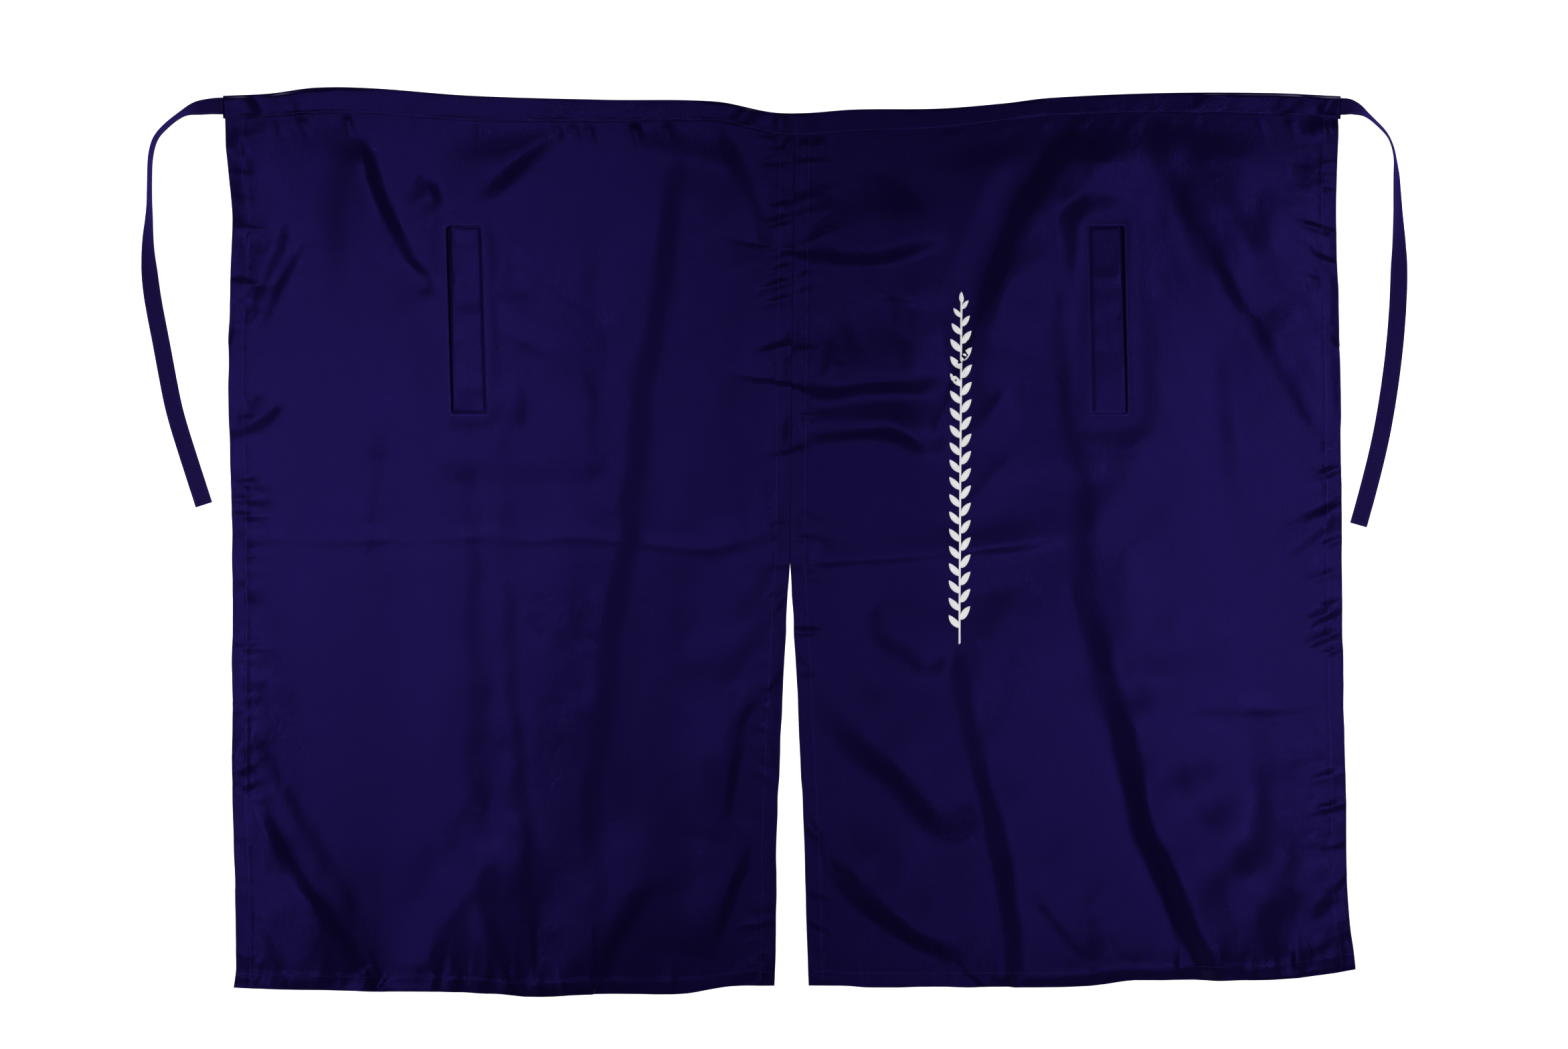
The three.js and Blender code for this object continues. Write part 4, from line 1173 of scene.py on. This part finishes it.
def cloth_material(name, dark, light, roughness, specular, twill=1.0):
    """Twill cloth: fine diagonal ribs, uneven threads and a tinted satin sheen."""
    material, nodes, links = new_material(name)
    shader = nodes["Principled BSDF"]
    set_inputs(
        shader, Specular_IOR_Level=specular, Specular_Tint=VIOLET_TINT,
        Sheen_Weight=0.3, Sheen_Roughness=0.55, Sheen_Tint=SHEEN_TINT,
    )
    place = nodes.new("ShaderNodeTexCoord").outputs["Object"]

    def threads(*scale):
        """Noise that is 1 / scale metres long in x, y and z."""
        mapping = nodes.new("ShaderNodeMapping")
        set_inputs(mapping, Scale=scale)
        links.new(place, mapping.inputs["Vector"])
        return noise(nodes, links, mapping.outputs["Vector"], 1, 2)

    def maths(operation, a, b):
        node = nodes.new("ShaderNodeMath")
        node.operation = operation
        for socket, value in zip(node.inputs, (a, b)):
            if isinstance(value, (int, float)):
                socket.default_value = value
            else:
                links.new(value, socket)
        return node.outputs["Value"]

    def add(a, b):
        return maths("ADD", a, b)

    def times(a, b):
        return maths("MULTIPLY", a, b)

    crossed = add(threads(1100, 60, 200), threads(60, 1100, 200))
    uneven = add(times(crossed, 0.35), times(threads(9, 5, 9), 0.3))
    speckled = add(times(uneven, 0.2), times(threads(620, 420, 200), 0.26))
    links.new(add(speckled, roughness - 0.23), shader.inputs["Roughness"])
    ribs = nodes.new("ShaderNodeTexWave")
    ribs.wave_type = "BANDS"
    ribs.bands_direction = "DIAGONAL"
    set_inputs(ribs, Scale=700, Distortion=0.6, Detail=1)
    links.new(place, ribs.inputs["Vector"])
    grain = add(crossed, times(threads(260, 200, 200), 3))
    relief = add(times(ribs.outputs["Fac"], 0.6 * twill), grain)
    finish_material(nodes, links, uneven, 0.36, dark, 0.64, light, relief, 0.6, 0.00014)
    return material


def thread_material(name, dark, light, roughness, specular, scale, tint):
    """Twisted thread with fine lengthwise streaks."""
    material, nodes, links = new_material(name)
    set_inputs(
        nodes["Principled BSDF"], Roughness=roughness, Specular_IOR_Level=specular, Specular_Tint=tint,
    )
    streaks = noise(nodes, links, nodes.new("ShaderNodeTexCoord").outputs["Object"], scale, 3)
    finish_material(nodes, links, streaks, 0.35, dark, 0.65, light, streaks, 0.3, 0.00008)
    return material


VIOLET_TINT = (0.145, 0.085, 1.0, 1)
SHEEN_TINT = (0.13, 0.07, 0.75, 1)
WHITE = (1, 1, 1, 1)
APRON_CLOTH = cloth_material(
    "apron_cloth_twill", (0.0032, 0.0015, 0.018), (0.0052, 0.0024, 0.027), 0.36, 0.32)
BAND_CLOTH = cloth_material("band_cloth_twill", (0.0032, 0.0015, 0.018), (0.005, 0.0024, 0.026), 0.36, 0.32)
# The ties are the apron's cloth without its specular sheen; their colour is painted lighter than the
# apron's to stand in for the brightness of that sheen
TIE_CLOTH = cloth_material("tie_cloth_twill", (0.013, 0.007, 0.065), (0.019, 0.01, 0.095), 0.5, 0.0)
LINING = cloth_material("pocket_lining", (0.0035, 0.0022, 0.018), (0.0045, 0.003, 0.024), 0.8, 0.2, 0.3)
SEAM_THREAD = thread_material(
    "seam_thread", (0.03, 0.02, 0.15), (0.052, 0.035, 0.25), 0.45, 0.3, 4000, VIOLET_TINT)
GLOWING_WHITE_THREAD = thread_material(
    "embroidery_thread", (0.82, 0.82, 0.83), (0.93, 0.93, 0.92), 0.38, 0.5, 3000, WHITE)
# The thread glows a little with painted light from an emission, so that it comes out white beside the dark
# cloth
set_inputs(GLOWING_WHITE_THREAD.node_tree.nodes["Principled BSDF"], Emission_Color=WHITE, Emission_Strength=0.22)


# Floor, light and camera

FLOOR_HALF = 8.0
WORLD_LIGHT = 0.05
LIGHTS = [  # place and target from the apron's middle, size, watts and spread in degrees
    ("left_upper_light", (-1.05, 0.28, 2.7), (-0.4, 0.2), (0.4, 0.4), 0.7, 28),
    ("left_lower_light", (-1.05, -0.28, 2.7), (-0.4, -0.2), (0.4, 0.4), 0.7, 28),
    ("right_upper_light", (1.05, 0.28, 2.7), (0.48, 0.2), (0.4, 0.4), 0.7, 28),
    ("right_lower_light", (1.05, -0.28, 2.7), (0.48, -0.2), (0.4, 0.4), 0.7, 28),
    ("left_fill", (-1.5, 0.1, 0.8), (0, 0), (1.5, 0.8), 0.8, 180),
    ("right_fill", (1.5, 0.1, 0.8), (0, 0), (1.5, 0.8), 0.8, 180),
]
CAMERA_PLACE = (0.0016, -0.3866, 2.74)  # from the middle of the waist line
CAMERA_LENS = 70
CAMERA_SENSOR = 36


def make_stage():
    corners = [(x * FLOOR_HALF, y * FLOOR_HALF, 0) for x, y in ((-1, -1), (1, -1), (1, 1), (-1, 1))]
    mesh = bpy.data.meshes.new("floor")
    mesh.from_pydata(corners, [], [(0, 1, 2, 3)])
    floor = bpy.data.objects.new("floor", mesh)
    bpy.context.scene.collection.objects.link(floor)
    material, nodes, _ = new_material("floor_white")
    set_inputs(
        nodes["Principled BSDF"], Base_Color=(0.86, 0.86, 0.86, 1), Roughness=0.9,
        Specular_IOR_Level=0.1, Emission_Color=WHITE, Emission_Strength=1.0,
    )
    mesh.materials.append(material)


def make_lights():
    middle = np.array([ORIGIN[0], ORIGIN[1] - APRON_HEIGHT / 2, 0])
    for name, place, target, size, watts, spread in LIGHTS:
        data = bpy.data.lights.new(name, "AREA")
        data.shape = "RECTANGLE"
        data.size, data.size_y = size
        data.energy = watts
        data.spread = math.radians(spread)
        light = bpy.data.objects.new(name, data)
        light.location = middle + place
        way = np.array([*target, 0]) - place
        tilt = math.atan2(math.hypot(way[0], way[1]), -way[2])
        light.rotation_euler = (tilt, 0, math.atan2(way[1], way[0]) - math.pi / 2)
        light.visible_camera = False
        bpy.context.scene.collection.objects.link(light)
    world = bpy.data.worlds.new("studio")
    world.use_nodes = True
    set_inputs(world.node_tree.nodes["Background"], Color=WHITE, Strength=WORLD_LIGHT)
    bpy.context.scene.world = world
    bpy.context.scene.view_settings.view_transform = "Standard"


def make_camera():
    data = bpy.data.cameras.new("photo_camera")
    data.lens = CAMERA_LENS
    data.sensor_width = CAMERA_SENSOR
    data.sensor_fit = "HORIZONTAL"
    camera = bpy.data.objects.new("photo_camera", data)
    camera.location = ORIGIN + CAMERA_PLACE
    bpy.context.scene.collection.objects.link(camera)
    bpy.context.scene.camera = camera


make_camera()
make_lights()
make_stage()
for side in SIDES:
    make_panel(side, APRON_CLOTH)
    make_panel_stitches(side, SEAM_THREAD)
    make_welt(side, APRON_CLOTH)
    make_bag(side, LINING)
    make_pocket_stitches(side, SEAM_THREAD)
    make_tie_stitches(side, make_tie(side, TIE_CLOTH), SEAM_THREAD)
make_band(BAND_CLOTH)
make_band_stitches(SEAM_THREAD)
make_embroidery(GLOWING_WHITE_THREAD)
